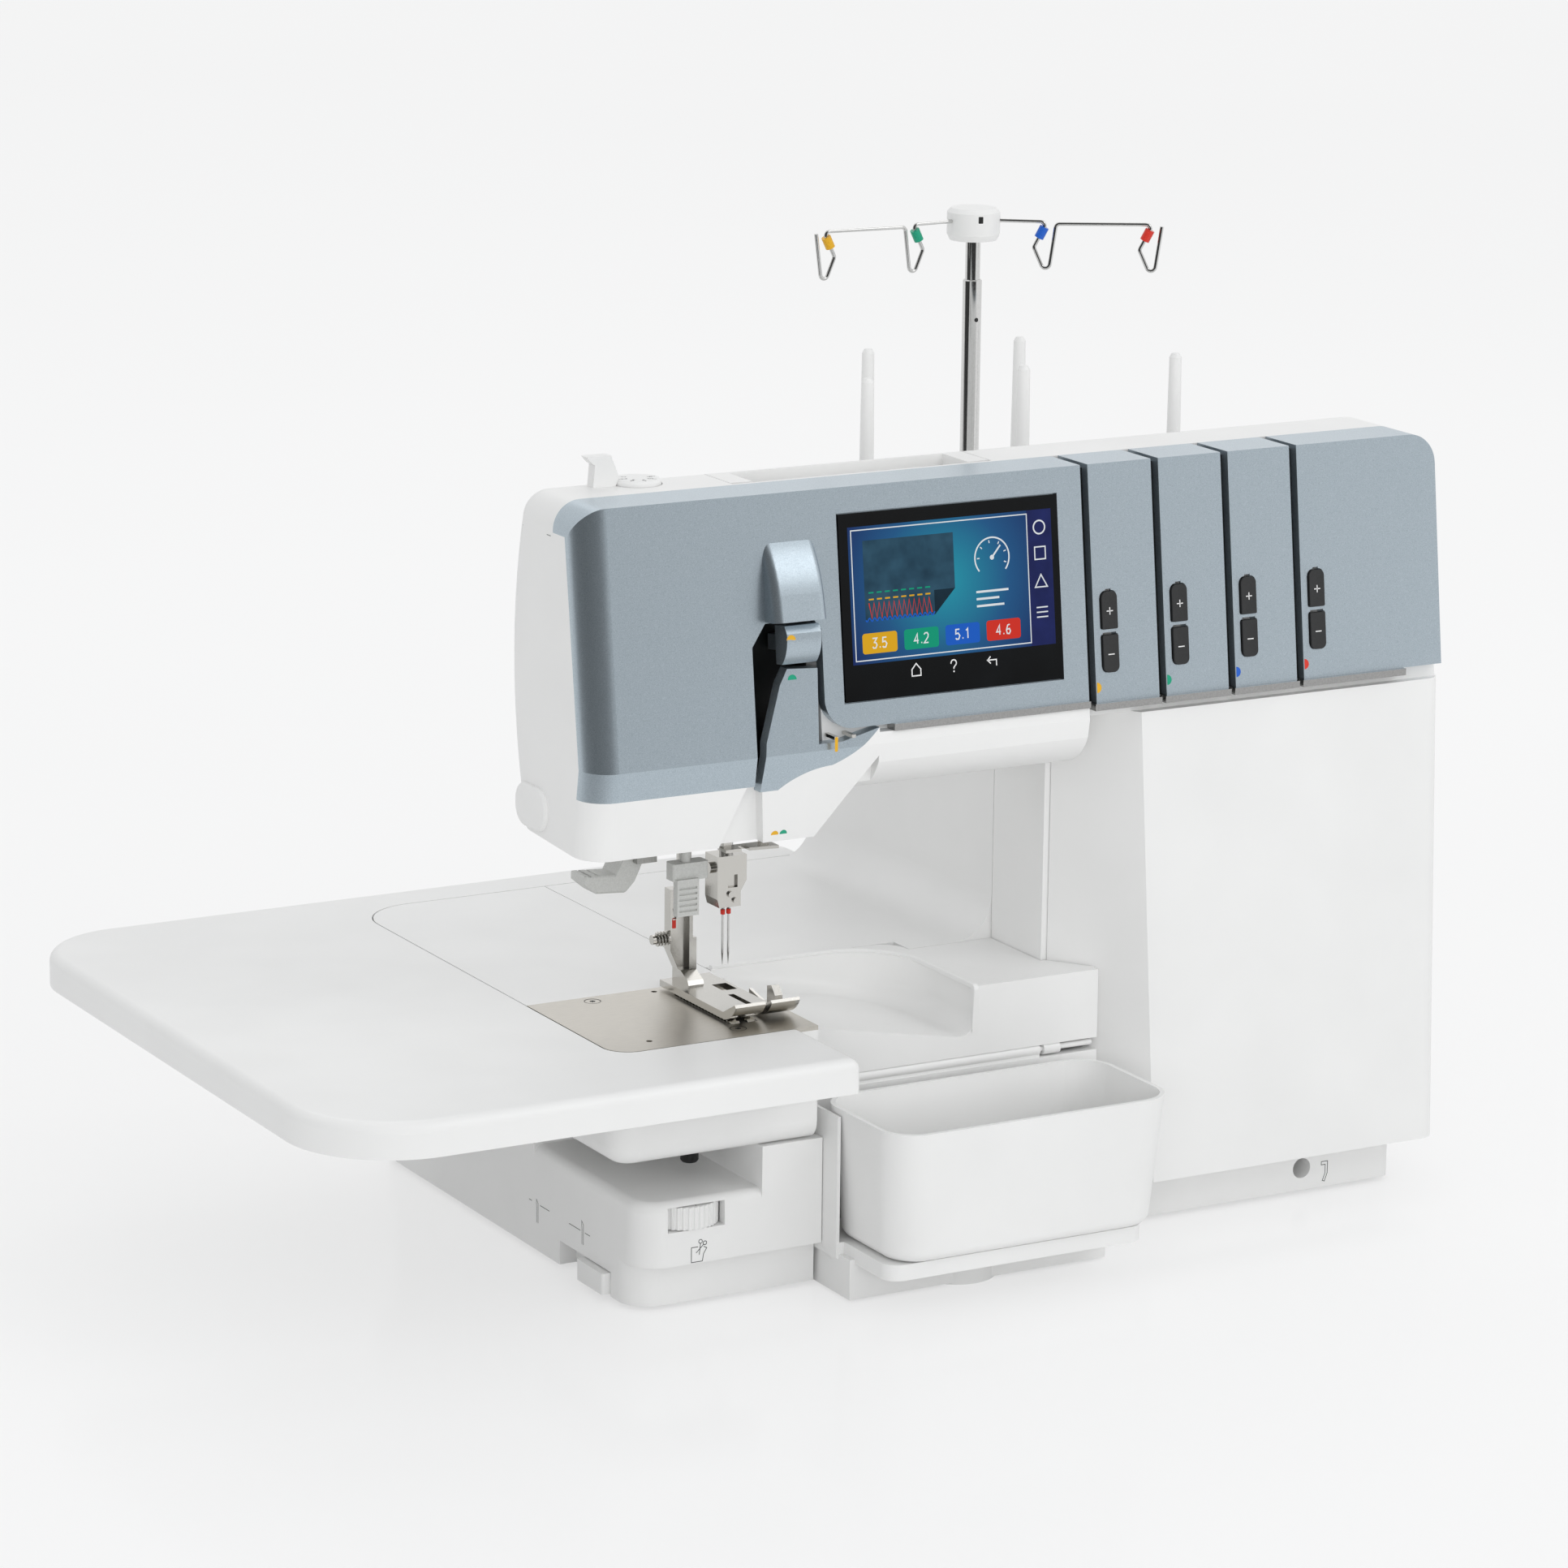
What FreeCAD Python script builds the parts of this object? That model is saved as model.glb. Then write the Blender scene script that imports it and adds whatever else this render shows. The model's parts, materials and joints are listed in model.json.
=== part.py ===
import FreeCAD, Part
import math
import os
from types import SimpleNamespace

import Sketcher
from FreeCAD import Placement, Rotation, Vector

# Overlock machine (serger) with free arm, extension table, waste bin and thread mast.
# Millimetres, +X to the machine's right, +Y to its back, +Z up.
# The origin is on the table top that the machine stands on, below the middle of its outline.

SIZES = (
    # Gaps between pieces.
    ("seam_gap", 0.5, "seam between two fixed covers"),
    ("move_gap", 0.5, "room round a piece that moves"),
    ("fit_gap", 0.06, "radial room of a shaft in its bore"),
    ("cover_wall", 3, "wall of the moulded casings"),
    # Base.
    ("base_left", -137, "left side of the base"),
    ("base_right", 283, "right side of the base"),
    ("base_back", 131, "back of the base"),
    ("plinth_front", -119, "front of the plinth under the column"),
    ("nose_front", -129, "front of the plinth under the dial block"),
    ("plinth_top", 22, "top of the plinth"),
    ("foot_height", 2, "rubber foot below the plinth"),
    ("foot_radius", 10, "rubber foot"),
    ("foot_inset", 18, "foot centre from the plinth's sides"),
    ("nose_round", 14, "upright corner of the base's nose"),
    ("plinth_round", 5, "other upright corners of the plinth"),
    ("knee_x", 231, "knee lever socket"),
    ("knee_height", 13, "knee lever socket above the table"),
    ("knee_radius", 5, "knee lever socket"),
    ("knee_depth", 34, "knee lever socket"),
    # Dial block on the left.
    ("block_front", -136, "front of the dial block"),
    ("block_right", -44, "right side of the dial block"),
    ("block_back", -27, "back wall of the pocket under the free arm"),
    ("deck_top", 52, "deck below the free arm"),
    ("deck_round", 5, "top edge of the deck"),
    ("pillar_left", -75, "left side of the pillar that carries the arm"),
    ("pocket_round", 22, "inner corner of the pocket under the arm"),
    # Free arm and bed.
    ("arm_left", -151, "left end of the free arm"),
    ("arm_front", -138.5, "front of the free arm"),
    ("arm_right", -48.5, "right side of the free arm"),
    ("arm_under", 72, "underside of the free arm"),
    ("bed_top", 126, "sewing bed"),
    ("bed_back", 136, "back edge of the bed"),
    ("arm_front_round", 12, "front left corner of the arm"),
    ("arm_back_round", 28, "back left corner of the arm"),
    ("arm_edge_round", 9, "lower edge of the arm's end"),
    # Needle plate.
    ("plate_back", -50.5, "back edge of the needle plate"),
    ("plate_thick", 2, "needle plate"),
    ("knife_left", -57.5, "left edge of the plate's knife cut-out"),
    ("knife_front", -111, "front edge of the plate's knife cut-out"),
    ("screw_radius", 3.6, "plate screw head"),
    ("screw_height", 1.6, "plate screw head"),
    ("screw_a_x", -121, "back plate screw"),
    ("screw_a_y", -57.5, "back plate screw"),
    ("screw_b_x", -83, "front plate screw"),
    ("screw_b_y", -126.5, "front plate screw"),
    ("pin_hole", 1.4, "small holes in the needle plate"),
    # Feed dogs.
    ("dog_left", -82.5, "left feed dog"),
    ("dog_width", 4.5, "feed dog"),
    ("dog_pitch", 8.5, "between the two feed dogs"),
    ("dog_front", -119, "front end of the feed dogs"),
    ("dog_back", -68, "back end of the feed dogs"),
    ("dog_tooth", 3, "tooth spacing"),
    ("dog_rise", 0.8, "feed dog above the plate"),
    ("dog_depth", 9, "feed dog bar"),
    ("dog_travel", 3, "feed stroke"),
    # Needles and needle bar.
    ("needle_x", -63.5, "middle of the two needles"),
    ("needle_y", -78, "needles"),
    ("needle_pitch", 3, "between the two needles"),
    ("needle_radius", 0.55, "needle blade"),
    ("needle_tip", 141, "needle points at the top of the stroke"),
    ("clamp_bottom", 170, "lower face of the needle clamp"),
    ("clamp_top", 194, "upper face of the needle clamp"),
    ("clamp_width", 15, "needle clamp"),
    ("clamp_depth", 12, "needle clamp"),
    ("needle_bar_radius", 3.2, "needle bar"),
    ("needle_bar_top", 300, "upper end of the needle bar"),
    # Presser bar and foot.
    ("bar_x", -74, "presser bar"),
    ("bar_y", -57, "presser bar"),
    ("bar_radius", 3.5, "presser bar"),
    ("bar_top", 300, "upper end of the presser bar"),
    ("ankle_bottom", 136, "lower end of the ankle"),
    ("ankle_top", 174, "upper end of the ankle"),
    ("ankle_width", 15, "ankle"),
    ("ankle_depth", 9, "ankle"),
    ("sole_left", -84, "left edge of the foot"),
    ("sole_right", -51, "right edge of the foot"),
    ("sole_front", -126, "front tip of the foot"),
    ("sole_back", -53, "heel of the foot"),
    ("sole_thick", 3.2, "sole of the foot"),
    ("sole_gap", 0.6, "sole above the feed dogs"),
    # Head and upper casing.
    ("head_left", -157, "left side of the head"),
    ("side_right", 296, "right side of the upper casing"),
    ("head_bottom", 209, "lower edge of the head"),
    ("skirt_front", -121, "front of the head's lower edge"),
    ("brow_front", -127.5, "front of the head at its widest"),
    ("brow_height", 250, "height of the head's widest line"),
    ("top_front", -113.4, "front edge of the top"),
    ("top_height", 366, "top of the machine"),
    ("head_back", -52, "back edge of the top"),
    ("back_bulge_radius", 250, "bulge of the head's back"),
    ("head_corner", 13, "left corners of the head"),
    ("back_round", 12, "back edges of the head"),
    ("end_round", 14, "right end of the top"),
    ("skin", 6, "front panel"),
    ("top_skin", 3.5, "front panel where it folds onto the top"),
    ("cheek", 14, "front panel where it folds round the left corner"),
    ("band_back", -88, "back edge of the panel on the top"),
    ("arm_throat", 226, "underside of the upper arm"),
    ("arm_nose", 20, "front lower edge of the upper arm"),
    ("throat_left", -42, "right edge of the head's bottom"),
    ("panel_bottom", 236.5, "lower edge of the head panel"),
    ("screen_foot", 258.5, "lower edge of the panel under the display"),
    ("side_cover_depth", 6, "left side cover"),
    ("side_cover_top", 350, "upper edge of the left side cover"),
    ("cutter_y", -84, "thread cutter on the left side"),
    ("cutter_low", 214, "thread cutter on the left side"),
    ("cutter_width", 30, "thread cutter on the left side"),
    ("cutter_height", 20, "thread cutter on the left side"),
    # Needle thread slot.
    ("slot_left", -75, "left edge of the thread slot"),
    ("slot_right", -39.5, "right edge of the thread slot"),
    ("slot_top", 309, "upper edge of the thread slot"),
    ("slot_floor", -96, "back wall of the thread slot"),
    ("liner_wall", 1.2, "dark lining of the slots"),
    # Display.
    ("screen_left", -29, "display glass"),
    ("screen_right", 85.5, "display glass"),
    ("screen_low", 270, "lower edge of the display glass"),
    ("screen_high", 354, "upper edge of the display glass"),
    ("screen_thick", 2.2, "display glass"),
    ("screen_proud", 0.5, "display glass in front of the panel"),
    # Thread lanes.
    ("lane_start", 103, "left edge of the first lane door"),
    ("lane_pitch", 38.2, "lane doors"),
    ("lane_slot", 4, "thread slot between the doors"),
    ("door_foot", 257, "lower edge of the lane doors"),
    ("sill_height", 3.2, "bright sill below the doors"),
    ("sill_proud", 1.6, "sill in front of the doors"),
    ("button_inset", 4, "button from the door's left edge"),
    ("button_width", 8.6, "button"),
    ("button_height", 17.4, "button"),
    ("button_gap", 2.6, "between the two buttons of a lane"),
    ("button_low", 271, "lower edge of the lower button"),
    ("button_round", 2.4, "button corners"),
    ("button_proud", 1.1, "button in front of the door"),
    ("button_thick", 5, "button"),
    # Column.
    ("column_left", 99, "left side of the column"),
    ("column_top", 250, "top of the column's covers"),
    ("casing_corner", 136, "left front edge of the front casing"),
    ("casing_top_front", -126, "front casing at its top"),
    ("casing_low_front", -136, "front casing at its bottom"),
    ("casing_bottom", 24.5, "lower edge of the front casing"),
    ("casing_back", -90, "back edge of the front casing"),
    ("casing_right", 298, "right side of the front casing"),
    ("casing_round", 9, "right front edge of the front casing"),
    ("cheek_back", -44, "seam between the column's middle and rear casings"),
    ("column_right", 290, "right side of the middle and rear casings"),
    ("throat_fillet", 20, "hollow between the bed and the column"),
    ("inlet_y", 60, "power inlet"),
    ("inlet_low", 40, "power inlet"),
    ("inlet_width", 32, "power inlet"),
    ("inlet_height", 22, "power inlet"),
    ("inlet_depth", 24, "power inlet"),
    # Looper cover and what is behind it.
    ("cover_front", -115, "front of the looper cover"),
    ("cover_right", 115, "right side of the looper cover"),
    ("cover_back", -45, "back edge of the looper cover"),
    ("cover_bottom", 93, "lower edge of the looper cover"),
    ("rim_back", -31, "back of the chute's rim"),
    ("rim_right", 53, "right side of the chute's rim"),
    ("rim_wall", 4, "rim of the chute"),
    ("rim_round", 42, "corner of the chute's rim"),
    ("chute_left_floor", 119, "chute floor beside the needle plate"),
    ("chute_right_floor", 101, "chute floor at its right"),
    ("chute_round", 9, "foot of the chute's wall"),
    ("front_wall", 6, "fixed panel below the looper cover"),
    ("hinge_radius", 2.9, "knuckles of the looper cover's hinge"),
    ("hinge_pin", 1.4, "pin of the looper cover's hinge"),
    ("hinge_y", -112.5, "hinge of the looper cover"),
    ("hinge_height", 90.5, "hinge of the looper cover"),
    ("looper_pin", 3, "pivot pins of the loopers"),
    # Waste bin.
    ("bin_left", -41.5, "waste bin at its rim"),
    ("bin_right", 106.5, "waste bin at its rim"),
    ("bin_front", -199, "waste bin at its rim"),
    ("bin_back", -126, "waste bin at its rim"),
    ("bin_rim", 88, "rim of the waste bin"),
    ("bin_bottom", 26, "underside of the waste bin"),
    ("bin_wall", 2.2, "waste bin"),
    ("bin_taper", 4.2, "slope of the bin's walls in degrees"),
    ("bin_round", 17, "upright corners of the waste bin"),
    ("tray_floor", 18, "underside of the bin's tray"),
    ("tray_base_front", -159, "base below the bin's tray"),
    ("tray_foot_radius", 19, "round foot below the tray"),
    # Extension table.
    ("table_left", -312, "extension table"),
    ("table_right", -57, "right end of the table's front strip"),
    ("table_front", -193, "extension table"),
    ("table_back", 162, "extension table"),
    ("table_tail", 99, "right end of the table's back strip"),
    ("table_thick", 16, "edge of the extension table"),
    ("table_plate", 4, "top of the extension table"),
    ("table_rib", 4, "ribs below the extension table"),
    ("table_gap", 0.7, "room between the table and the arm"),
    ("table_front_round", 50, "front left corner of the table"),
    ("table_back_round", 44, "back left corner of the table"),
    ("table_edge_round", 5, "upper edge of the table"),
    # Spool stand and mast.
    ("stand_left", 72, "spool stand"),
    ("stand_right", 312, "spool stand"),
    ("stand_front", 48, "spool stand"),
    ("stand_back", 199, "spool stand"),
    ("stand_thick", 11, "spool stand"),
    ("stand_round", 30, "back corners of the spool stand"),
    ("mast_x", 192, "mast"),
    ("mast_y", 139, "mast"),
    ("pin_pitch", 89, "between spool pins of a row"),
    ("pin_row_front", 88, "front row of spool pins"),
    ("pin_row_back", 165, "back row of spool pins"),
    ("pin_base_radius", 4.2, "spool pin at its foot"),
    ("pin_tip_radius", 3.1, "spool pin at its top"),
    ("pin_top", 375, "tops of the spool pins"),
    ("dish_radius", 27, "seat of a spool"),
    ("dish_height", 2.5, "seat of a spool"),
    ("mast_radius", 4.8, "lower tube of the mast"),
    ("mast_step", 411, "top of the lower tube"),
    ("mast_rise", 20, "mast's head above the lower tube"),
    ("rod_radius", 3.75, "upper tube of the mast"),
    ("rod_foot", 300, "lower end of the upper tube"),
    ("cap_radius", 13.3, "mast head"),
    ("cap_height", 16, "mast head"),
    ("wire_radius", 1, "thread guide wire"),
    ("wire_reach", 94, "thread guide wire from the mast"),
    ("wire_half_angle", 70, "guide wires from straight ahead, in degrees"),
    ("wire_turn", -16, "turn of the mast head, in degrees"),
    ("hook_drop", 29, "depth of a guide hook"),
    ("hook_width", 11, "width of a guide hook"),
    # Drive.
    ("shaft_y", -62, "main shaft"),
    ("shaft_height", 66, "main shaft"),
    ("shaft_radius", 5, "main shaft"),
    ("shaft_left", 4, "left end of the main shaft"),
    ("wheel_radius", 33, "handwheel"),
    ("wheel_width", 13, "handwheel"),
    # Small controls.
    ("dial_x", -108.5, "cutting width dial"),
    ("dial_y", -121, "cutting width dial"),
    ("dial_radius", 17, "cutting width dial"),
    ("dial_low", 38.5, "cutting width dial"),
    ("dial_high", 49, "cutting width dial"),
    ("dial_window", 14.5, "half the width of the dial's window"),
    ("dial_axle", 3, "axle of the cutting width dial"),
    ("lock_front", -107, "knife lock slider"),
    ("lock_length", 26, "knife lock slider"),
    ("lock_travel", 24, "knife lock slider"),
    ("lock_low", 3, "knife lock slider"),
    ("lock_high", 13, "knife lock slider"),
    ("lock_proud", 4, "knife lock slider outside the base"),
    ("handle_left", -66, "carrying handle"),
    ("handle_right", 68, "carrying handle"),
    ("handle_pin_y", -79, "pivot of the carrying handle"),
    ("handle_back", -56, "grip of the carrying handle"),
    ("handle_bar", 11, "grip of the carrying handle"),
    ("handle_thick", 9, "carrying handle"),
    ("handle_recess", 24, "depth of the recess below the handle"),
    ("handle_pin", 2.5, "pivot of the carrying handle"),
    ("pressure_x", -104, "presser pressure dial"),
    ("pressure_y", -66, "presser pressure dial"),
    ("pressure_radius", 11, "presser pressure dial"),
    ("pressure_rise", 2.5, "presser pressure dial above the top"),
    ("pressure_sink", 5, "presser pressure dial in the top"),
    ("lifter_x", -108, "pivot of the presser foot lifter"),
    ("lifter_y", -74, "presser foot lifter"),
    ("lifter_drop", 8, "pivot of the presser foot lifter below the head"),
    ("lifter_width", 14, "presser foot lifter"),
    ("lifter_pin", 2, "pivot pin of the presser foot lifter"),
    ("threader_x", -91, "needle threader"),
    ("threader_y", -90, "needle threader"),
    ("post_radius", 2.4, "post of the needle threader"),
    ("spring_height", 151, "torsion spring on the ankle"),
    ("spring_length", 8, "torsion spring on the ankle"),
    ("spring_radius", 3, "torsion spring on the ankle, to the middle of its wire"),
    ("spring_wire", 0.45, "wire of the torsion spring"),
)

NEAR = 0.05
doc = FreeCAD.newDocument("overlock_machine")
sheet = doc.addObject("Spreadsheet::Sheet", "Sizes")
nodes = []


class Dim:
    """A size with its value and the sheet expression that gives it."""

    def __init__(self, value, text):
        self.value = float(value)
        self.text = text

    def __add__(self, other):
        other = as_dim(other)
        return Dim(self.value + other.value, f"({self.text} + {other.text})")

    def __sub__(self, other):
        other = as_dim(other)
        return Dim(self.value - other.value, f"({self.text} - {other.text})")

    def __mul__(self, other):
        other = as_dim(other)
        return Dim(self.value * other.value, f"({self.text} * {other.text})")

    def __truediv__(self, other):
        other = as_dim(other)
        return Dim(self.value / other.value, f"({self.text} / {other.text})")

    def __neg__(self):
        return Dim(-self.value, f"(0 - {self.text})")

    __radd__ = __add__
    __rmul__ = __mul__


def as_dim(size):
    """Turns a plain number into a Dim."""
    if isinstance(size, Dim):
        return size
    return Dim(size, f"({float(size)})")


def fill_sheet():
    """Writes the driving sizes into the sheet and returns them by name."""
    named = {}
    for row, (name, value, note) in enumerate(SIZES, start=1):
        sheet.set(f"A{row}", name)
        sheet.set(f"B{row}", str(value))
        sheet.setAlias(f"B{row}", name)
        sheet.set(f"C{row}", note)
        named[name] = Dim(value, f"Sizes.{name}")
    doc.recompute()
    return SimpleNamespace(**named)


s = fill_sheet()


def node(thing, name):
    """Makes a shape one of the machine's named pieces."""
    thing.Label = name
    if thing.Label != name:
        raise RuntimeError(f"the name {name} is taken by another object")
    nodes.append(thing)
    return thing


def rect(left, low, right, high):
    """Four corners of a rectangle, anticlockwise."""
    return [(left, low), (right, low), (right, high), (left, high)]


def rounded_rect(left, low, right, high, radius):
    """Rectangle with four arcs at its corners, anticlockwise."""
    return [(left + radius, low), (right - radius, low, radius, 1), (right, low + radius),
            (right, high - radius, radius, 1), (right - radius, high), (left + radius, high, radius, 1),
            (left, high - radius), (left, low + radius, radius, 1)]


def arc_centre(start, end, radius, turn):
    """Centre of the smaller arc from start to end; turn is 1 for anticlockwise and -1 for clockwise."""
    chord = end - start
    across = Vector(-chord.y, chord.x, 0).normalize()
    half = chord.Length / 2
    return start + chord * 0.5 + across * (turn * math.sqrt(radius * radius - half * half))


def draw(sketch, outline):
    """Draws a closed outline of corners (u, v) or (u, v, radius, turn), whose next side is then an arc."""
    count = len(outline)
    corners = [[as_dim(size) for size in corner[:2]] for corner in outline]
    spots = [Vector(u.value, v.value, 0) for u, v in corners]
    first_end = []
    for index, corner in enumerate(outline):
        start = spots[index]
        end = spots[(index + 1) % count]
        if len(corner) == 2:
            sketch.addGeometry(Part.LineSegment(start, end))
            first_end.append(1)
            continue
        radius = as_dim(corner[2])
        centre = arc_centre(start, end, radius.value, corner[3])
        circle = Part.Circle(centre, Vector(0, 0, 1), radius.value)
        ends = [circle.parameter(start), circle.parameter(end)][::corner[3]]
        sketch.addGeometry(Part.ArcOfCircle(circle, ends[0], ends[1]))
        first_end.append(1 if corner[3] == 1 else 2)
        held = sketch.addConstraint(Sketcher.Constraint("Radius", index, radius.value))
        sketch.setExpression(f"Constraints[{held}]", radius.text)
    for index in range(count):
        following = (index + 1) % count
        sketch.addConstraint(
            Sketcher.Constraint("Coincident", index, 3 - first_end[index], following, first_end[following]))
    for index, (u, v) in enumerate(corners):
        for kind, size in (("DistanceX", u), ("DistanceY", v)):
            held = sketch.addConstraint(Sketcher.Constraint(kind, -1, 1, index, first_end[index], size.value))
            sketch.setExpression(f"Constraints[{held}]", size.text)


def draw_circle(sketch, u, v, radius):
    """Draws one circle, held by its centre and radius."""
    sketch.addGeometry(Part.Circle(Vector(u.value, v.value, 0), Vector(0, 0, 1), radius.value))
    held = sketch.addConstraint(Sketcher.Constraint("Radius", 0, radius.value))
    sketch.setExpression(f"Constraints[{held}]", radius.text)
    for kind, size in (("DistanceX", u), ("DistanceY", v)):
        held = sketch.addConstraint(Sketcher.Constraint(kind, -1, 1, 0, 3, size.value))
        sketch.setExpression(f"Constraints[{held}]", size.text)


def sketch_on(body, plane, level):
    """Adds an empty sketch parallel to one of the body's planes, at a level along that plane's axis."""
    sketch = body.newObject("Sketcher::SketchObject", body.Name + "_sketch")
    support = [item for item in body.Origin.OriginFeatures if item.Role == plane + "_Plane"]
    sketch.AttachmentSupport = [(support[0], "")]
    sketch.MapMode = "FlatFace"
    along = -level if plane == "XZ" else level
    sketch.setExpression("AttachmentOffset.Base.z", along.text)
    return sketch


def pad(body, plane, outline, low, high):
    """Adds a straight prism between two levels. A circle's outline is (u, v, radius)."""
    low = as_dim(low)
    high = as_dim(high)
    sketch = sketch_on(body, plane, high if plane == "XZ" else low)
    if isinstance(outline, tuple):
        draw_circle(sketch, *[as_dim(size) for size in outline])
    else:
        draw(sketch, outline)
    feature = body.newObject("PartDesign::Pad", body.Name + "_pad")
    feature.Profile = sketch
    feature.setExpression("Length", (high - low).text)
    sketch.Visibility = False
    doc.recompute()
    return feature


def prism(name, plane, outline, low, high):
    """A new body with one pad."""
    body = doc.addObject("PartDesign::Body", name)
    pad(body, plane, outline, low, high)
    return body


def pocket(body, plane, outline, low, high):
    """Cuts a straight hollow between two levels and makes sure that it cuts."""
    low = as_dim(low)
    high = as_dim(high)
    before = body.Shape.Volume
    sketch = sketch_on(body, plane, low if plane == "XZ" else high)
    if isinstance(outline, tuple):
        draw_circle(sketch, *[as_dim(size) for size in outline])
    else:
        draw(sketch, outline)
    feature = body.newObject("PartDesign::Pocket", body.Name + "_pocket")
    feature.Profile = sketch
    feature.setExpression("Length", (high - low).text)
    doc.recompute()
    if not body.Shape.Volume < before:
        raise RuntimeError(f"a pocket in {body.Name} cuts nothing")
    return feature


def edges_along(axis, *spots):
    """Picks straight edges along an axis whose middle is at one of the spots; None fits any place."""
    direction = {"X": Vector(1, 0, 0), "Y": Vector(0, 1, 0), "Z": Vector(0, 0, 1)}[axis]

    def keep(edge):
        if edge.Curve.TypeId != "Part::GeomLine":
            return False
        if abs(edge.Curve.Direction.dot(direction)) < 0.98:
            return False
        middle = edge.CenterOfMass
        for spot in spots:
            wanted = zip((middle.x, middle.y, middle.z), spot)
            if all(size is None or abs(place - as_dim(size).value) < NEAR for place, size in wanted):
                return True
        return False

    return keep


def edges_at_height(height):
    """Picks every edge that lies at one height."""

    def keep(edge):
        box = edge.BoundBox
        return abs(box.ZMin - height.value) < NEAR and abs(box.ZMax - height.value) < NEAR

    return keep


def edges_at_left(place):
    """Picks every edge that lies at one place along X."""

    def keep(edge):
        return abs(edge.BoundBox.XMin - place.value) < NEAR and abs(edge.BoundBox.XMax - place.value) < NEAR

    return keep


def soften(body, radius, keep):
    """Rounds the picked edges of a body."""
    radius = as_dim(radius)
    tip = body.Tip
    names = [f"Edge{index}" for index, edge in enumerate(tip.Shape.Edges, start=1) if keep(edge)]
    if not names:
        raise RuntimeError(f"no edge of {body.Name} fits")
    feature = body.newObject("PartDesign::Fillet", body.Name + "_round")
    feature.Base = (tip, names)
    feature.setExpression("Radius", radius.text)
    doc.recompute()
    return feature


def soften_uprights(body, radius, *corners):
    """Rounds upright edges at corners given as (x, y)."""
    return soften(body, radius, edges_along("Z", *[(x, y, None) for x, y in corners]))


def turned(name, profile, x, y, z=0, axis="Z"):
    """A body of revolution: profile of (radius, height) about an axis through a point."""
    body = doc.addObject("PartDesign::Body", name)
    sketch = sketch_on(body, "XZ", as_dim(0))
    draw(sketch, profile)
    feature = body.newObject("PartDesign::Revolution", name + "_turn")
    feature.Profile = sketch
    feature.ReferenceAxis = (sketch, ["V_Axis"])
    feature.Angle = 360
    spin = {"Z": Rotation(), "X": Rotation(Vector(0, 1, 0), 90), "Y": Rotation(Vector(1, 0, 0), -90)}[axis]
    body.Placement = Placement(Vector(0, 0, 0), spin)
    for letter, size in zip("xyz", (x, y, z)):
        body.setExpression(f"Placement.Base.{letter}", as_dim(size).text)
    doc.recompute()
    return body


def rod(name, radius, x, y, z, length, axis="Z"):
    """A plain cylinder from a point along an axis."""
    cylinder = doc.addObject("Part::Cylinder", name)
    spin = {"Z": Rotation(), "X": Rotation(Vector(0, 1, 0), 90), "Y": Rotation(Vector(1, 0, 0), -90)}[axis]
    cylinder.Placement = Placement(Vector(0, 0, 0), spin)
    for letter, size in zip("xyz", (x, y, z)):
        cylinder.setExpression(f"Placement.Base.{letter}", as_dim(size).text)
    cylinder.setExpression("Radius", as_dim(radius).text)
    cylinder.setExpression("Height", as_dim(length).text)
    return cylinder


def box(name, low, high):
    """A plain box between two corners."""
    block = doc.addObject("Part::Box", name)
    for letter, side, start, end in zip("xyz", ("Length", "Width", "Height"), low, high):
        start = as_dim(start)
        block.setExpression(f"Placement.Base.{letter}", start.text)
        block.setExpression(side, (as_dim(end) - start).text)
    return block


def joined(name, *pieces):
    """One solid of several pieces that touch or overlap."""
    whole = doc.addObject("Part::MultiFuse", name)
    whole.Shapes = list(pieces)
    whole.Refine = True
    doc.recompute()
    return whole


def cut(name, base, *tools):
    """A piece less its tools."""
    tool = tools[0]
    if len(tools) > 1:
        tool = joined(name + "_tools", *tools)
    result = doc.addObject("Part::Cut", name)
    result.Base = base
    result.Tool = tool
    result.Refine = True
    doc.recompute()
    return result


def shared(name, first, second):
    """What two pieces have in common."""
    result = doc.addObject("Part::Common", name)
    result.Base = first
    result.Tool = second
    result.Refine = True
    doc.recompute()
    return result


def grouped(name, *pieces):
    """Several separate solids as one node."""
    group = doc.addObject("Part::Compound", name)
    group.Links = list(pieces)
    doc.recompute()
    return group


def front_frame():
    """Placement of the leaning front panel: local X to the right, Y up the panel, Z out of it."""
    rise = s.top_height.value - s.brow_height.value
    lean = math.degrees(math.atan2(s.top_front.value - s.brow_front.value, rise))
    return Placement(Vector(0, s.brow_front.value, s.brow_height.value), Rotation(Vector(1, 0, 0), 90 - lean))


def up_panel(height):
    """Distance up the leaning panel that reaches a height."""
    rise = s.top_height - s.brow_height
    lean = s.top_front - s.brow_front
    slope = math.hypot(rise.value, lean.value) / rise.value
    return (as_dim(height) - s.brow_height) * slope


def on_front(name, outline, low, high):
    """A prism that stands on the leaning front panel, from depth low to depth high."""
    body = prism(name, "XY", outline, low, high)
    body.Placement = front_frame()
    doc.recompute()
    return body


# Base


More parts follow.
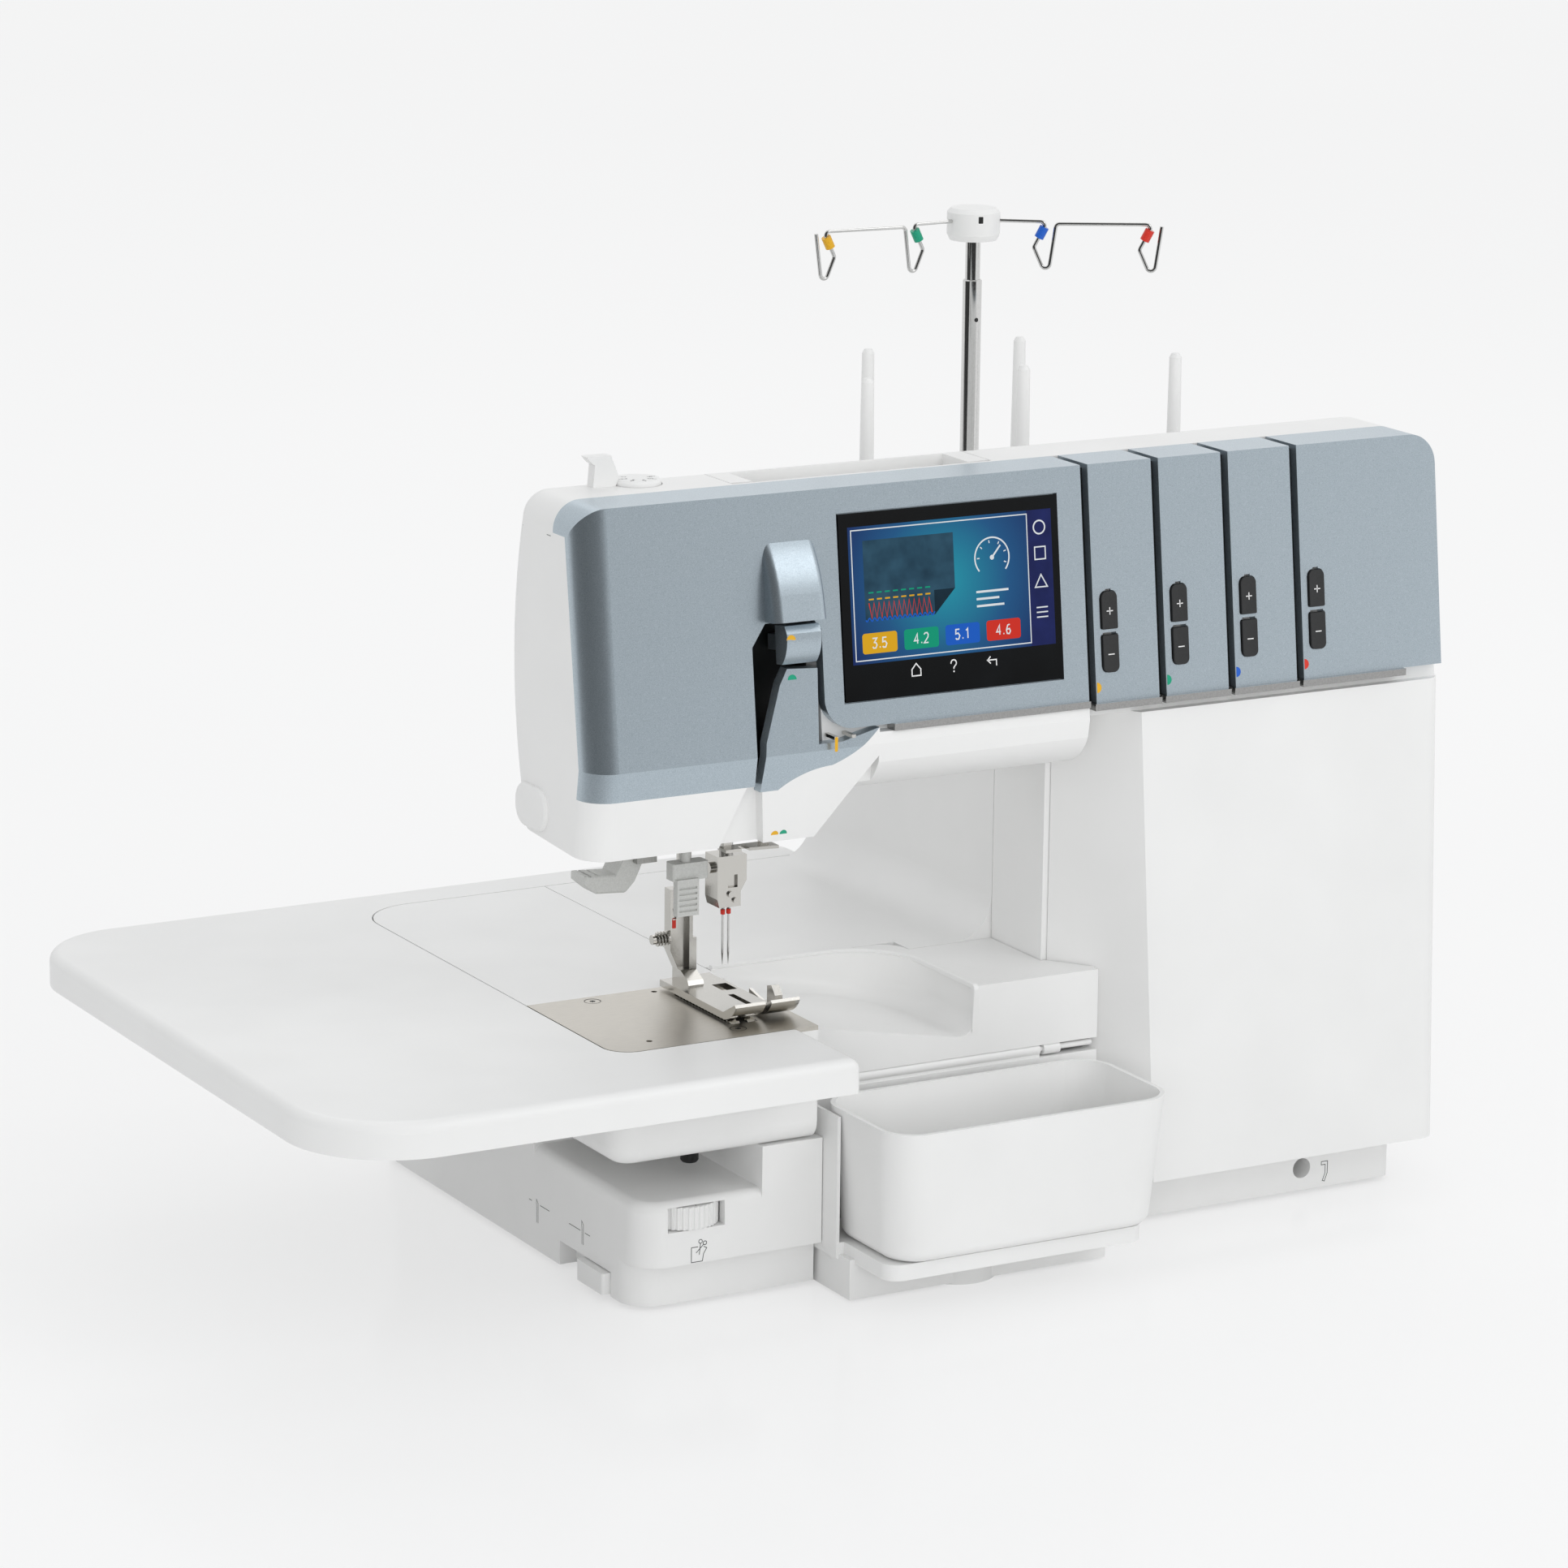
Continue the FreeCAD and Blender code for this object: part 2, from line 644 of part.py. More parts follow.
def make_base():
    """Plinth with the knee lever socket and the slider's groove, and its rubber feet."""
    outline = [
        (s.base_left, s.nose_front), (s.block_right, s.nose_front), (s.block_right, s.plinth_front),
        (s.base_right, s.plinth_front), (s.base_right, s.base_back), (s.base_left, s.base_back)]
    plinth = prism("base_plinth", "XY", outline, s.foot_height, s.plinth_top)
    soften_uprights(plinth, s.nose_round, (s.base_left, s.nose_front))
    soften_uprights(plinth, s.plinth_round, (s.base_right, s.plinth_front), (s.base_right, s.base_back),
                    (s.base_left, s.base_back))
    pocket(plinth, "XZ", (s.knee_x, s.knee_height, s.knee_radius), s.plinth_front,
           s.plinth_front + s.knee_depth)
    groove_end = s.lock_front + s.lock_length + s.lock_travel + s.move_gap
    groove = rect(s.lock_front - s.move_gap, s.foot_height, groove_end, s.lock_high + s.move_gap)
    pocket(plinth, "YZ", groove, s.base_left, s.base_left + s.lock_length / 3)
    node(plinth, "base_plinth")
    feet = []
    spots = [(s.base_left + s.foot_inset * 1.3, s.nose_front + s.foot_inset),
             (s.base_left + s.foot_inset, s.base_back - s.foot_inset),
             (s.base_right - s.foot_inset, s.plinth_front + s.foot_inset),
             (s.base_right - s.foot_inset, s.base_back - s.foot_inset)]
    for index, (x, y) in enumerate(spots, start=1):
        feet.append(rod(f"foot_{index}", s.foot_radius, x, y, 0, s.foot_height))
    node(grouped("rubber_feet", *feet), "rubber_feet")


def make_lock_slider():
    """Knife lock slider in the groove of the plinth's left side."""
    low = s.base_left - s.lock_proud
    high = s.base_left + s.lock_length / 3 - s.move_gap
    slider = prism("knife_lock_slider", "YZ", rect(s.lock_front, s.lock_low, s.lock_front + s.lock_length,
                                                   s.lock_high), low, high)
    soften(slider, s.move_gap * 3, edges_along("Z", (low, None, None)))
    node(slider, "knife_lock_slider")


def make_dial_block():
    """Left front block: deck, pillar that carries the free arm, and the cutting width dial in its window."""
    block = prism("dial_block_form", "XY", rect(s.base_left, s.block_front, s.block_right, s.block_back),
                  s.plinth_top, s.arm_under)
    soften_uprights(block, s.nose_round, (s.base_left, s.block_front))
    wall = s.block_back - s.cover_wall
    gap = [(s.base_left - 1, s.block_front - 1), (s.pillar_left, s.block_front - 1), (s.pillar_left, wall),
           (s.base_left - 1, wall)]
    pocket(block, "XY", gap, s.deck_top, s.arm_under)
    soften_uprights(block, s.pocket_round, (s.pillar_left, wall))
    soften(block, s.deck_round, edges_along("X", (None, s.block_front, s.deck_top)))
    low = s.dial_low - s.move_gap
    high = s.dial_high + s.move_gap
    room = rod("dial_room", s.dial_radius + s.move_gap, s.dial_x, s.dial_y, low, high - low)
    window = box("dial_window", (s.dial_x - s.dial_window, s.block_front - 1, low),
                 (s.dial_x + s.dial_window, s.dial_y, high))
    axle = rod("dial_axle", s.dial_axle, s.dial_x, s.dial_y, low - 1, high - low + 2)
    node(joined("dial_block", cut("dial_housing", block, room, window), axle), "dial_block")
    dial = prism("dial_disc", "XY", (s.dial_x, s.dial_y, s.dial_radius), s.dial_low, s.dial_high)
    pocket(dial, "XY", (s.dial_x, s.dial_y, s.dial_axle + s.fit_gap), s.dial_low, s.dial_high)
    node(ribbed_rim(dial), "cutting_width_dial")


def ribbed_rim(dial):
    """Cuts grip notches round a dial's rim."""
    count = 40
    notches = []
    for index in range(count):
        angle = 2 * math.pi * index / count
        x = s.dial_x + s.dial_radius * math.cos(angle)
        y = s.dial_y + s.dial_radius * math.sin(angle)
        notch = rod(f"dial_notch_{index}", 0.8, x, y, s.dial_low - 1, s.dial_high - s.dial_low + 2)
        notches.append(notch)
    return cut("dial_ribbed", dial, *notches)


def make_free_arm():
    """Free arm with the needle plate's seat, the hook cavity and soft lower edges."""
    arm = prism("free_arm", "XY", rect(s.arm_left, s.arm_front, s.arm_right, s.bed_back),
                s.arm_under, s.bed_top)
    soften_uprights(arm, s.arm_front_round, (s.arm_left, s.arm_front))
    soften_uprights(arm, s.arm_back_round, (s.arm_left, s.bed_back))
    soften(arm, s.arm_edge_round, edges_along("Y", (s.arm_left, None, s.arm_under)))
    seat = rect(s.arm_left, s.arm_front, s.arm_right, s.plate_back)
    pocket(arm, "XY", seat, s.bed_top - s.plate_thick, s.bed_top)
    cavity = rect(s.dog_left - 4, s.dog_front - 6, s.arm_right, s.plate_back - 6)
    pocket(arm, "XY", cavity, s.arm_under + s.cover_wall * 3, s.bed_top - s.plate_thick)
    node(arm, "free_arm")


def plate_spots():
    """Screw and pin places of the needle plate."""
    return [(s.screw_a_x, s.screw_a_y), (s.screw_b_x, s.screw_b_y)]


def make_needle_plate():
    """Brushed steel plate with feed slots, needle slot, knife cut-out and two flush screws."""
    low = s.bed_top - s.plate_thick
    outline = [(s.arm_left, s.arm_front), (s.arm_right, s.arm_front), (s.arm_right, s.knife_front),
               (s.knife_left, s.knife_front), (s.knife_left, s.plate_back), (s.arm_left, s.plate_back)]
    plate = prism("plate_sheet", "XY", outline, low, s.bed_top)
    soften_uprights(plate, s.arm_front_round, (s.arm_left, s.arm_front))
    for left in (s.dog_left, s.dog_left + s.dog_pitch):
        slot = rect(left - s.move_gap, s.dog_front - s.move_gap, left + s.dog_width + s.move_gap,
                    s.dog_back + s.dog_travel + s.move_gap)
        pocket(plate, "XY", slot, low, s.bed_top)
    half = s.needle_pitch / 2 + s.needle_radius * 2
    slot = rect(s.needle_x - half, s.needle_y - 2, s.needle_x + half, s.needle_y + 2)
    pocket(plate, "XY", slot, low, s.bed_top)
    screws = []
    for index, (x, y) in enumerate(plate_spots(), start=1):
        pocket(plate, "XY", (x, y, s.screw_radius + s.fit_gap), s.bed_top - s.screw_height, s.bed_top)
        screws.append(rod(f"plate_screw_{index}", s.screw_radius, x, y, s.bed_top - s.screw_height,
                          s.screw_height - s.fit_gap))
    for x, y in ((s.screw_a_x + 32.5, s.screw_a_y + 1.5), (s.screw_b_x - 45, s.screw_b_y)):
        pocket(plate, "XY", (x, y, s.pin_hole), low, s.bed_top)
    node(grouped("plate_with_screws", plate, *screws), "needle_plate")


def make_feed_dogs():
    """Two toothed bars on one carrier below the plate."""
    top = s.bed_top + s.dog_rise
    count = int((s.dog_back.value - s.dog_front.value) / s.dog_tooth.value)
    bars = []
    for index, left in enumerate((s.dog_left, s.dog_left + s.dog_pitch), start=1):
        outline = [(s.dog_front, top - s.dog_depth), (s.dog_front + s.dog_tooth * count, top - s.dog_depth)]
        for tooth in reversed(range(count)):
            outline.append((s.dog_front + s.dog_tooth * (tooth + 1), top - 1))
            outline.append((s.dog_front + s.dog_tooth * (tooth + 0.3), top))
        outline.append((s.dog_front, top - 1))
        bars.append(prism(f"feed_bar_{index}", "YZ", outline, left, left + s.dog_width))
    carrier = box("feed_carrier", (s.dog_left, s.dog_front + 12, top - s.dog_depth - 6),
                  (s.dog_left + s.dog_pitch + s.dog_width, s.dog_back - 12, top - s.dog_depth))
    node(joined("feed_dogs", carrier, *bars), "feed_dogs")


# Rear casing, column and looper space


def make_rear_casing():
    """Rear shell: bed, lower rear wall and the back of the column, open towards the front."""
    left = s.arm_right + s.seam_gap
    back_of_bed = s.rim_back + s.seam_gap
    front_of_bed = s.cover_back + s.seam_gap
    bed = prism("rear_bed", "XY", [
        (left, back_of_bed), (s.rim_right + s.seam_gap, back_of_bed), (s.rim_right + s.seam_gap, front_of_bed),
        (s.column_left, front_of_bed), (s.column_left, s.bed_back), (left, s.bed_back)], s.arm_under, s.bed_top)
    lower = prism("rear_lower", "XY", rect(s.base_left, s.block_back, s.column_left, s.base_back),
                  s.plinth_top, s.arm_under)
    soften_uprights(lower, s.nose_round, (s.base_left, s.base_back))
    column = prism("rear_column", "XY", rect(s.column_left, s.cheek_back, s.column_right, s.base_back),
                   s.plinth_top, s.column_top)
    soften_uprights(column, s.nose_round, (s.column_right, s.base_back))
    hollow = [(s.column_left, s.bed_top), (s.column_left - s.throat_fillet, s.bed_top, s.throat_fillet, 1),
              (s.column_left, s.bed_top + s.throat_fillet)]
    fillet = prism("rear_fillet", "XZ", hollow, s.cheek_back, s.base_back)
    whole = joined("rear_whole", bed, lower, column, fillet)
    wall = s.cover_wall
    inside = box("rear_inside", (s.column_left + wall, s.cheek_back - 1, s.plinth_top + wall),
                 (s.column_right - wall, s.base_back - wall, s.column_top - wall))
    under = box("bed_inside", (left + wall, s.block_back - 6, s.plinth_top + wall),
                (s.column_left + wall, s.base_back - wall, s.bed_top - wall * 2))
    socket = box("inlet_hole", (s.column_right - wall - 1, s.inlet_y, s.inlet_low),
                 (s.column_right + 1, s.inlet_y + s.inlet_width, s.inlet_low + s.inlet_height))
    node(cut("rear_casing", whole, inside, under, socket), "rear_casing")


def make_inlet():
    """Power inlet in the right side of the rear casing: open socket with three pins."""
    low = (s.column_right - s.inlet_depth, s.inlet_y, s.inlet_low)
    high = (s.column_right + 1, s.inlet_y + s.inlet_width, s.inlet_low + s.inlet_height)
    rim = s.cover_wall
    shell = box("inlet_shell", low, high)
    hollow = box("inlet_hollow", [size + rim for size in low],
                 (high[0] + 1, high[1] - rim, high[2] - rim))
    pins = []
    for index, (across, up) in enumerate(((0.3, 0.35), (0.7, 0.35), (0.5, 0.65)), start=1):
        y = s.inlet_y + s.inlet_width * across
        z = s.inlet_low + s.inlet_height * up
        pins.append(box(f"inlet_pin_{index}", (low[0] + 1, y - 1, z - 2), (high[0] - 6, y + 1, z + 2)))
    node(joined("power_inlet", cut("inlet_socket", shell, hollow), *pins), "power_inlet")


def make_column_cheek():
    """Middle casing of the column, with bearing holes for the main shaft."""
    front = s.casing_back + s.seam_gap
    back = s.cheek_back - s.seam_gap
    outer = prism("column_cheek", "XY", rect(s.column_left, front, s.column_right, back),
                  s.plinth_top, s.column_top)
    wall = s.cover_wall
    inner = rect(s.column_left + wall, front + wall, s.column_right - wall, back)
    pocket(outer, "XY", inner, s.plinth_top + wall, s.column_top - wall)
    bearing = (s.shaft_y, s.shaft_height, s.shaft_radius + s.fit_gap)
    pocket(outer, "YZ", bearing, s.column_left, s.column_right)
    node(outer, "column_cheek")


def make_front_casing():
    """Right front casing: leaning front, slanted left face, wrapped right side."""
    side = [(s.casing_low_front, s.casing_bottom), (s.cheek_back - s.seam_gap, s.casing_bottom),
            (s.cheek_back - s.seam_gap, s.column_top), (s.casing_top_front, s.column_top)]
    casing = prism("front_casing", "YZ", side, s.column_left + s.cover_wall, s.casing_right)
    slant = [(s.column_left - 1, s.casing_back), (s.column_left - 1, s.casing_low_front - 1),
             (s.casing_corner, s.casing_low_front - 1), (s.column_left + s.cover_wall, s.casing_back)]
    pocket(casing, "XY", slant, s.casing_bottom, s.column_top)
    behind = rect(s.column_left - 1, s.casing_back, s.column_right + s.seam_gap, s.cheek_back)
    pocket(casing, "XY", behind, s.casing_bottom, s.column_top)
    right_front = edges_along("Z", (s.casing_right, None, None))

    def leaning_edge(edge):
        return right_front(edge) and edge.CenterOfMass.y < s.casing_back.value

    soften(casing, s.casing_round, leaning_edge)
    shaft_hole = (s.shaft_y, s.shaft_height, s.shaft_radius + s.move_gap)
    pocket(casing, "YZ", shaft_hole, s.column_right, s.casing_right)
    wall = s.cover_wall
    inside = rect(s.casing_corner + wall, s.casing_bottom + wall, s.casing_right - s.casing_round - wall,
                  s.column_top - wall)
    pocket(casing, "XZ", inside, s.casing_top_front + wall * 2, s.casing_back)
    node(casing, "front_casing")


def make_looper_front():
    """Fixed panel below the looper cover, with the hinge's pin and the pins of the loopers."""
    left = s.block_right + s.seam_gap
    top = s.hinge_height - s.hinge_radius - s.move_gap
    panel = prism("panel_sheet", "XY", rect(left, s.cover_front, s.cover_right, s.cover_front + s.front_wall),
                  s.plinth_top, top)
    back = s.cover_front + s.front_wall
    length = s.column_left + 12 - left
    pieces = [rod("hinge_pin", s.hinge_pin, left + 2, s.hinge_y, s.hinge_height, length, "X")]
    knuckle = s.column_left - left - 30
    pieces.append(rod("panel_knuckle", s.hinge_radius, left + 15, s.hinge_y, s.hinge_height, knuckle, "X"))
    pieces.append(box("knuckle_web", (left + 15, s.hinge_y - 2, top - 1), (left + 15 + knuckle, s.hinge_y + 2,
                                                                            s.hinge_height)))
    for index, (x, y) in enumerate(((30, -80), (0, -72)), start=1):
        pieces.append(rod(f"looper_pin_{index}", s.looper_pin, x, back - 1, 48, as_dim(y) - back + 3, "Y"))
    node(joined("lower_front_panel", panel, *pieces), "lower_front_panel")


def make_looper_cover():
    """Looper cover: flat block on the right, scooped fabric chute with its raised rim, hinge knuckles."""
    left = s.arm_right + s.seam_gap * 2
    right = s.column_left - s.seam_gap
    # The right end follows the casing's slanted face, so that the opening cover passes it.
    edge = s.column_left + s.cover_wall - s.seam_gap * 2
    slope = (s.casing_low_front - 1 - s.casing_back) / (s.casing_corner - s.column_left - s.cover_wall)
    meeting = s.casing_back + slope * (s.cover_right - edge)
    block = prism("cover_block", "XY", [
        (left, s.cover_front), (s.cover_right, s.cover_front), (s.cover_right, meeting),
        (edge, s.casing_back - s.seam_gap), (right, s.casing_back - s.seam_gap), (right, s.cover_back),
        (s.rim_right, s.cover_back),
        (s.rim_right, s.rim_back), (left, s.rim_back)], s.cover_bottom, s.bed_top)
    soften_uprights(block, (s.rim_back - s.cover_back) * 0.9, (s.rim_right, s.rim_back))
    scoop = prism("chute_scoop", "XZ", [
        (left - 1, s.chute_left_floor), (s.rim_right - s.rim_wall, s.chute_right_floor),
        (s.rim_right - s.rim_wall, s.bed_top + 5), (left - 1, s.bed_top + 5)],
        s.cover_front - 5, s.rim_back - s.rim_wall)
    corner = edges_along("Z", (s.rim_right - s.rim_wall, s.rim_back - s.rim_wall, None))
    soften(scoop, s.rim_round, corner)

    def foot_of_scoop(edge):
        place = edge.BoundBox
        if place.ZMax > s.chute_left_floor.value + 1:
            return False
        at_back = place.YMax > s.rim_back.value - s.rim_wall.value - NEAR
        at_right = place.XMin > s.rim_right.value - s.rim_wall.value - NEAR
        return at_back or place.XLength < NEAR and at_right

    soften(scoop, s.chute_round, foot_of_scoop)
    inside = box("cover_inside", (s.rim_right + s.rim_wall, s.cover_front + s.cover_wall * 3, s.cover_bottom - 1),
                 (right - s.rim_wall, s.cover_back - s.cover_wall, s.bed_top - s.cover_wall))
    panel_left = s.block_right + s.seam_gap
    start = panel_left + 14
    room = rod("knuckle_room", s.hinge_radius + s.move_gap, start, s.hinge_y, s.hinge_height,
               s.column_left - panel_left - 28, "X")
    open_cover = cut("cover_open", block, scoop, inside, room)
    knuckles = [rod("cover_knuckle_1", s.hinge_radius, panel_left + 4, s.hinge_y, s.hinge_height, 9, "X"),
                rod("cover_knuckle_2", s.hinge_radius, s.column_left - 13, s.hinge_y, s.hinge_height, 9, "X")]
    bore_radius = s.hinge_pin + s.fit_gap
    bore = rod("cover_bore", bore_radius, left, s.hinge_y, s.hinge_height, s.cover_right - left, "X")
    node(cut("looper_cover", joined("cover_with_knuckles", open_cover, *knuckles), bore), "looper_cover")


# Head and upper casing


def upper_form():
    """Outer form of the head and upper casing, before it is divided into covers."""
    profile = [
        (s.skirt_front, s.head_bottom), (s.head_back, s.head_bottom + 4, s.back_bulge_radius, 1),
        (s.head_back, s.top_height), (s.top_front, s.top_height), (s.brow_front, s.brow_height)]
    form = prism("upper_form", "YZ", profile, s.head_left, s.side_right)
    soften(form, s.back_round, edges_along("X", (None, s.head_back, s.top_height)))
    soften(form, s.end_round, edges_along("Y", (s.side_right, None, s.top_height)))

    def left_front(edge):
        box_of_edge = edge.BoundBox
        if abs(box_of_edge.XMax - s.head_left.value) > NEAR:
            return False
        at_top = abs(box_of_edge.ZMin - s.top_height.value) < NEAR
        at_front = box_of_edge.YMax < s.top_front.value + NEAR
        return at_top or at_front and box_of_edge.ZMax > s.brow_height.value - 1

    soften(form, s.head_corner, left_front)
    return form


def front_zone():
    """Space of everything that belongs to the front panels: the leaning skin and the folded corner."""
    far = s.brow_front - 30
    high = s.top_height + 20
    low = s.head_bottom - 20
    skin = prism("skin_zone", "YZ", [
        (far, low), (s.skirt_front + s.skin, low), (s.skirt_front + s.skin, s.head_bottom),
        (s.brow_front + s.skin, s.brow_height), (s.top_front + s.skin, s.top_height - s.top_skin),
        (s.band_back, s.top_height - s.top_skin), (s.band_back, high), (far, high)],
        s.head_left - 10, s.side_right + 10)
    fold = prism("fold_zone", "YZ", [
        (far, low), (s.skirt_front + s.cheek, low), (s.skirt_front + s.cheek, s.head_bottom),
        (s.brow_front + s.cheek, s.brow_height), (s.top_front + s.cheek, s.top_height - s.cheek),
        (s.band_back, s.top_height - s.cheek), (s.band_back, high), (far, high)],
        s.head_left - 10, s.head_left + s.skin)
    return joined("front_zone", skin, fold)


def face_zone(name, outline):
    """Space straight behind an outline drawn on the front view."""
    return prism(name, "XZ", outline, s.brow_front - 20, s.head_back + 20)


def make_upper_casing(form, zone):
    """White upper casing: the form less its front covers, the throat and the inner spaces."""
    below = s.head_bottom - 20
    throat = prism("throat_zone", "XZ", [
        (s.throat_left, below), (s.side_right + 10, below), (s.side_right + 10, s.column_top),
        (s.column_left, s.column_top), (s.column_left, s.arm_throat), (s.throat_left + 14, s.arm_throat),
        (s.throat_left, s.head_bottom)], s.brow_front - 20, s.head_back + 40)
    nose_top = s.arm_throat + s.arm_nose * 1.15
    nose = prism("nose_zone", "YZ", [
        (s.brow_front - 20, below), (s.skirt_front + s.arm_nose, below),
        (s.skirt_front + s.arm_nose, s.arm_throat, s.arm_nose * 1.25, -1),
        (s.brow_front - 0.5, nose_top), (s.brow_front - 20, nose_top)],
        s.throat_left + 14, s.side_right + 10)
    works = box("works_zone", (s.threader_x - 12, s.threader_y - 12, below),
                (s.needle_x + s.clamp_width + 4, s.bar_y + 9, s.needle_bar_top + 8))
    side = box("side_zone", (s.head_left - 10, s.skirt_front - 40, below),
               (s.head_left + s.side_cover_depth, 0, s.side_cover_top))
    slot = box("slot_zone", (s.slot_left - 1, s.brow_front - 20, s.panel_bottom),
               (s.slot_right + 1, s.slot_floor, s.slot_top))
    half = s.handle_thick / 2
    grip = box("grip_zone", (s.handle_left - s.move_gap, s.band_back + 2, s.top_height - s.handle_recess),
               (s.handle_right + s.move_gap, s.head_back + 30, s.top_height + 10))
    pins = rod("handle_pin_zone", s.handle_pin, s.handle_left - 8, s.handle_pin_y, s.top_height - half,
               s.handle_right - s.handle_left + 16, "X")
    pressure = rod("pressure_zone", s.pressure_radius + s.move_gap, s.pressure_x, s.pressure_y,
                   s.top_height - s.pressure_sink - s.move_gap, 40)
    brow = box("brow_zone", (s.throat_left + 30, s.brow_front - 40, below),
               (s.lane_start - s.lane_slot, s.head_back, s.screen_foot - s.sill_height))
    covers = cut("cover_zone", zone, brow)
    casing = cut("casing_plain", form, covers, throat, nose, works, side, slot, grip, pins, pressure)
    node(joined("upper_casing", casing, make_fin()), "upper_casing")
    cover = cut("side_cover_plain", shared("side_cover_form", form, side), zone)
    cutter = prism("thread_cutter", "YZ", rounded_rect(
        s.cutter_y, s.cutter_low, s.cutter_y + s.cutter_width, s.cutter_low + s.cutter_height,
        s.cutter_height * 0.45), s.head_left - 2, s.head_left + 3)
    soften(cutter, 1.4, edges_at_left(s.head_left - 2))
    node(joined("head_side_cover", cover, cutter), "head_side_cover")


def make_fin():
    """Thread guide fin on the top."""
    foot = s.top_height - 1
    return prism("thread_fin", "XZ", [
        (s.pressure_x - 12, foot), (s.pressure_x - 23, foot), (s.pressure_x - 22, s.top_height + 10, 16, -1),
        (s.pressure_x - 26, s.top_height + 14), (s.pressure_x - 14, s.top_height + 14),
        (s.pressure_x - 10, s.top_height + 4)], s.pressure_y - 2, s.pressure_y + 4)


def panel_outline():
    """Front view of the blue head panel round the needle thread slot."""
    far = s.head_left - 8
    return [
        (far, s.panel_bottom), (s.slot_left, s.panel_bottom), (s.slot_left, s.slot_top - 10),
        (s.slot_left + 7, s.slot_top), (s.slot_right - 4, s.slot_top), (s.slot_right, s.slot_top - 5),
        (s.slot_right, s.screen_foot + 14, 14, 1), (s.slot_right + 14, s.screen_foot),
        (s.lane_start - s.lane_slot, s.screen_foot), (s.lane_start - s.lane_slot, s.top_height + 10),
        (far, s.top_height + 10)]


def fairing_edge():
    """Lower S-shaped edge of the blue fairing, from right to left."""
    return [(s.throat_left + 30, s.screen_foot - 1, 60, -1), (s.throat_left + 6, s.panel_bottom + 6, 50, 1),
            (s.slot_left + 12, s.panel_bottom - 3)]


def make_head_panels(form, zone):
    """Blue head panel, blue fairing with the lower thread lever, white skirt below them."""
    face = shared("front_face", form, zone)
    seat = on_front("screen_seat", screen_outline(s.move_gap), s.screen_proud - s.screen_thick, 20)
    panel = shared("panel_form", face, face_zone("panel_zone", panel_outline()))
    node(cut("head_panel", panel, seat), "head_panel")
    right, middle, left = fairing_edge()
    fairing = [right, middle, left, (s.slot_left + 3, s.panel_bottom - 3), (s.slot_left + 5, s.brow_height + 6),
               (s.slot_left + 13, s.slot_top - 28), (s.slot_left + 17, s.slot_top - 21),
               (s.slot_right - 3, s.slot_top - 22), (s.slot_right - 4, s.brow_height + 3),
               (s.slot_right + 8, s.brow_height + 3)]
    node(shared("thread_fairing", face, face_zone("fairing_zone", fairing)), "thread_fairing")
    below = s.head_bottom - 10
    band = [(s.head_left - 8, below), (s.slot_left - 20, below), (s.slot_left - 4, s.panel_bottom),
            (s.head_left - 8, s.panel_bottom)]
    tongue = [(s.slot_left + 8, below), (s.throat_left, below), (s.throat_left, s.head_bottom),
              (s.throat_left + 14, s.panel_bottom - 10.5), (s.throat_left + 30, s.panel_bottom + 8),
              right, middle, left, (s.slot_left + 4, s.panel_bottom - 3)]
    left_skirt = shared("skirt_left", face, face_zone("band_zone", band))
    right_skirt = shared("skirt_right", face, face_zone("tongue_zone", tongue))
    node(grouped("head_skirt", left_skirt, right_skirt), "head_skirt")
    return face


def screen_outline(margin):
    """Display glass on the leaning panel, grown by a margin."""
    return rect(s.screen_left - margin, up_panel(s.screen_low) - margin, s.screen_right + margin,
                up_panel(s.screen_high) + margin)


def make_display():
    """Black display glass, seated in the head panel."""
    outline = screen_outline(as_dim(0))
    glass = on_front("display_glass", outline, s.screen_proud - s.screen_thick, s.screen_proud)
    node(glass, "display_glass")


def lane_edges(index):
    """Left and right edge of a lane door."""
    left = s.lane_start + s.lane_pitch * index
    if index == 3:
        return left, s.side_right + 10
    return left, left + s.lane_pitch - s.lane_slot


def button_outline(index, row, margin):
    """Button of a lane on the leaning panel, row 0 below and row 1 above."""
    left = lane_edges(index)[0] + s.button_inset
    low = up_panel(s.button_low) + (s.button_height + s.button_gap) * row
    return rect(left - margin, low - margin, left + s.button_width + margin, low + s.button_height + margin)


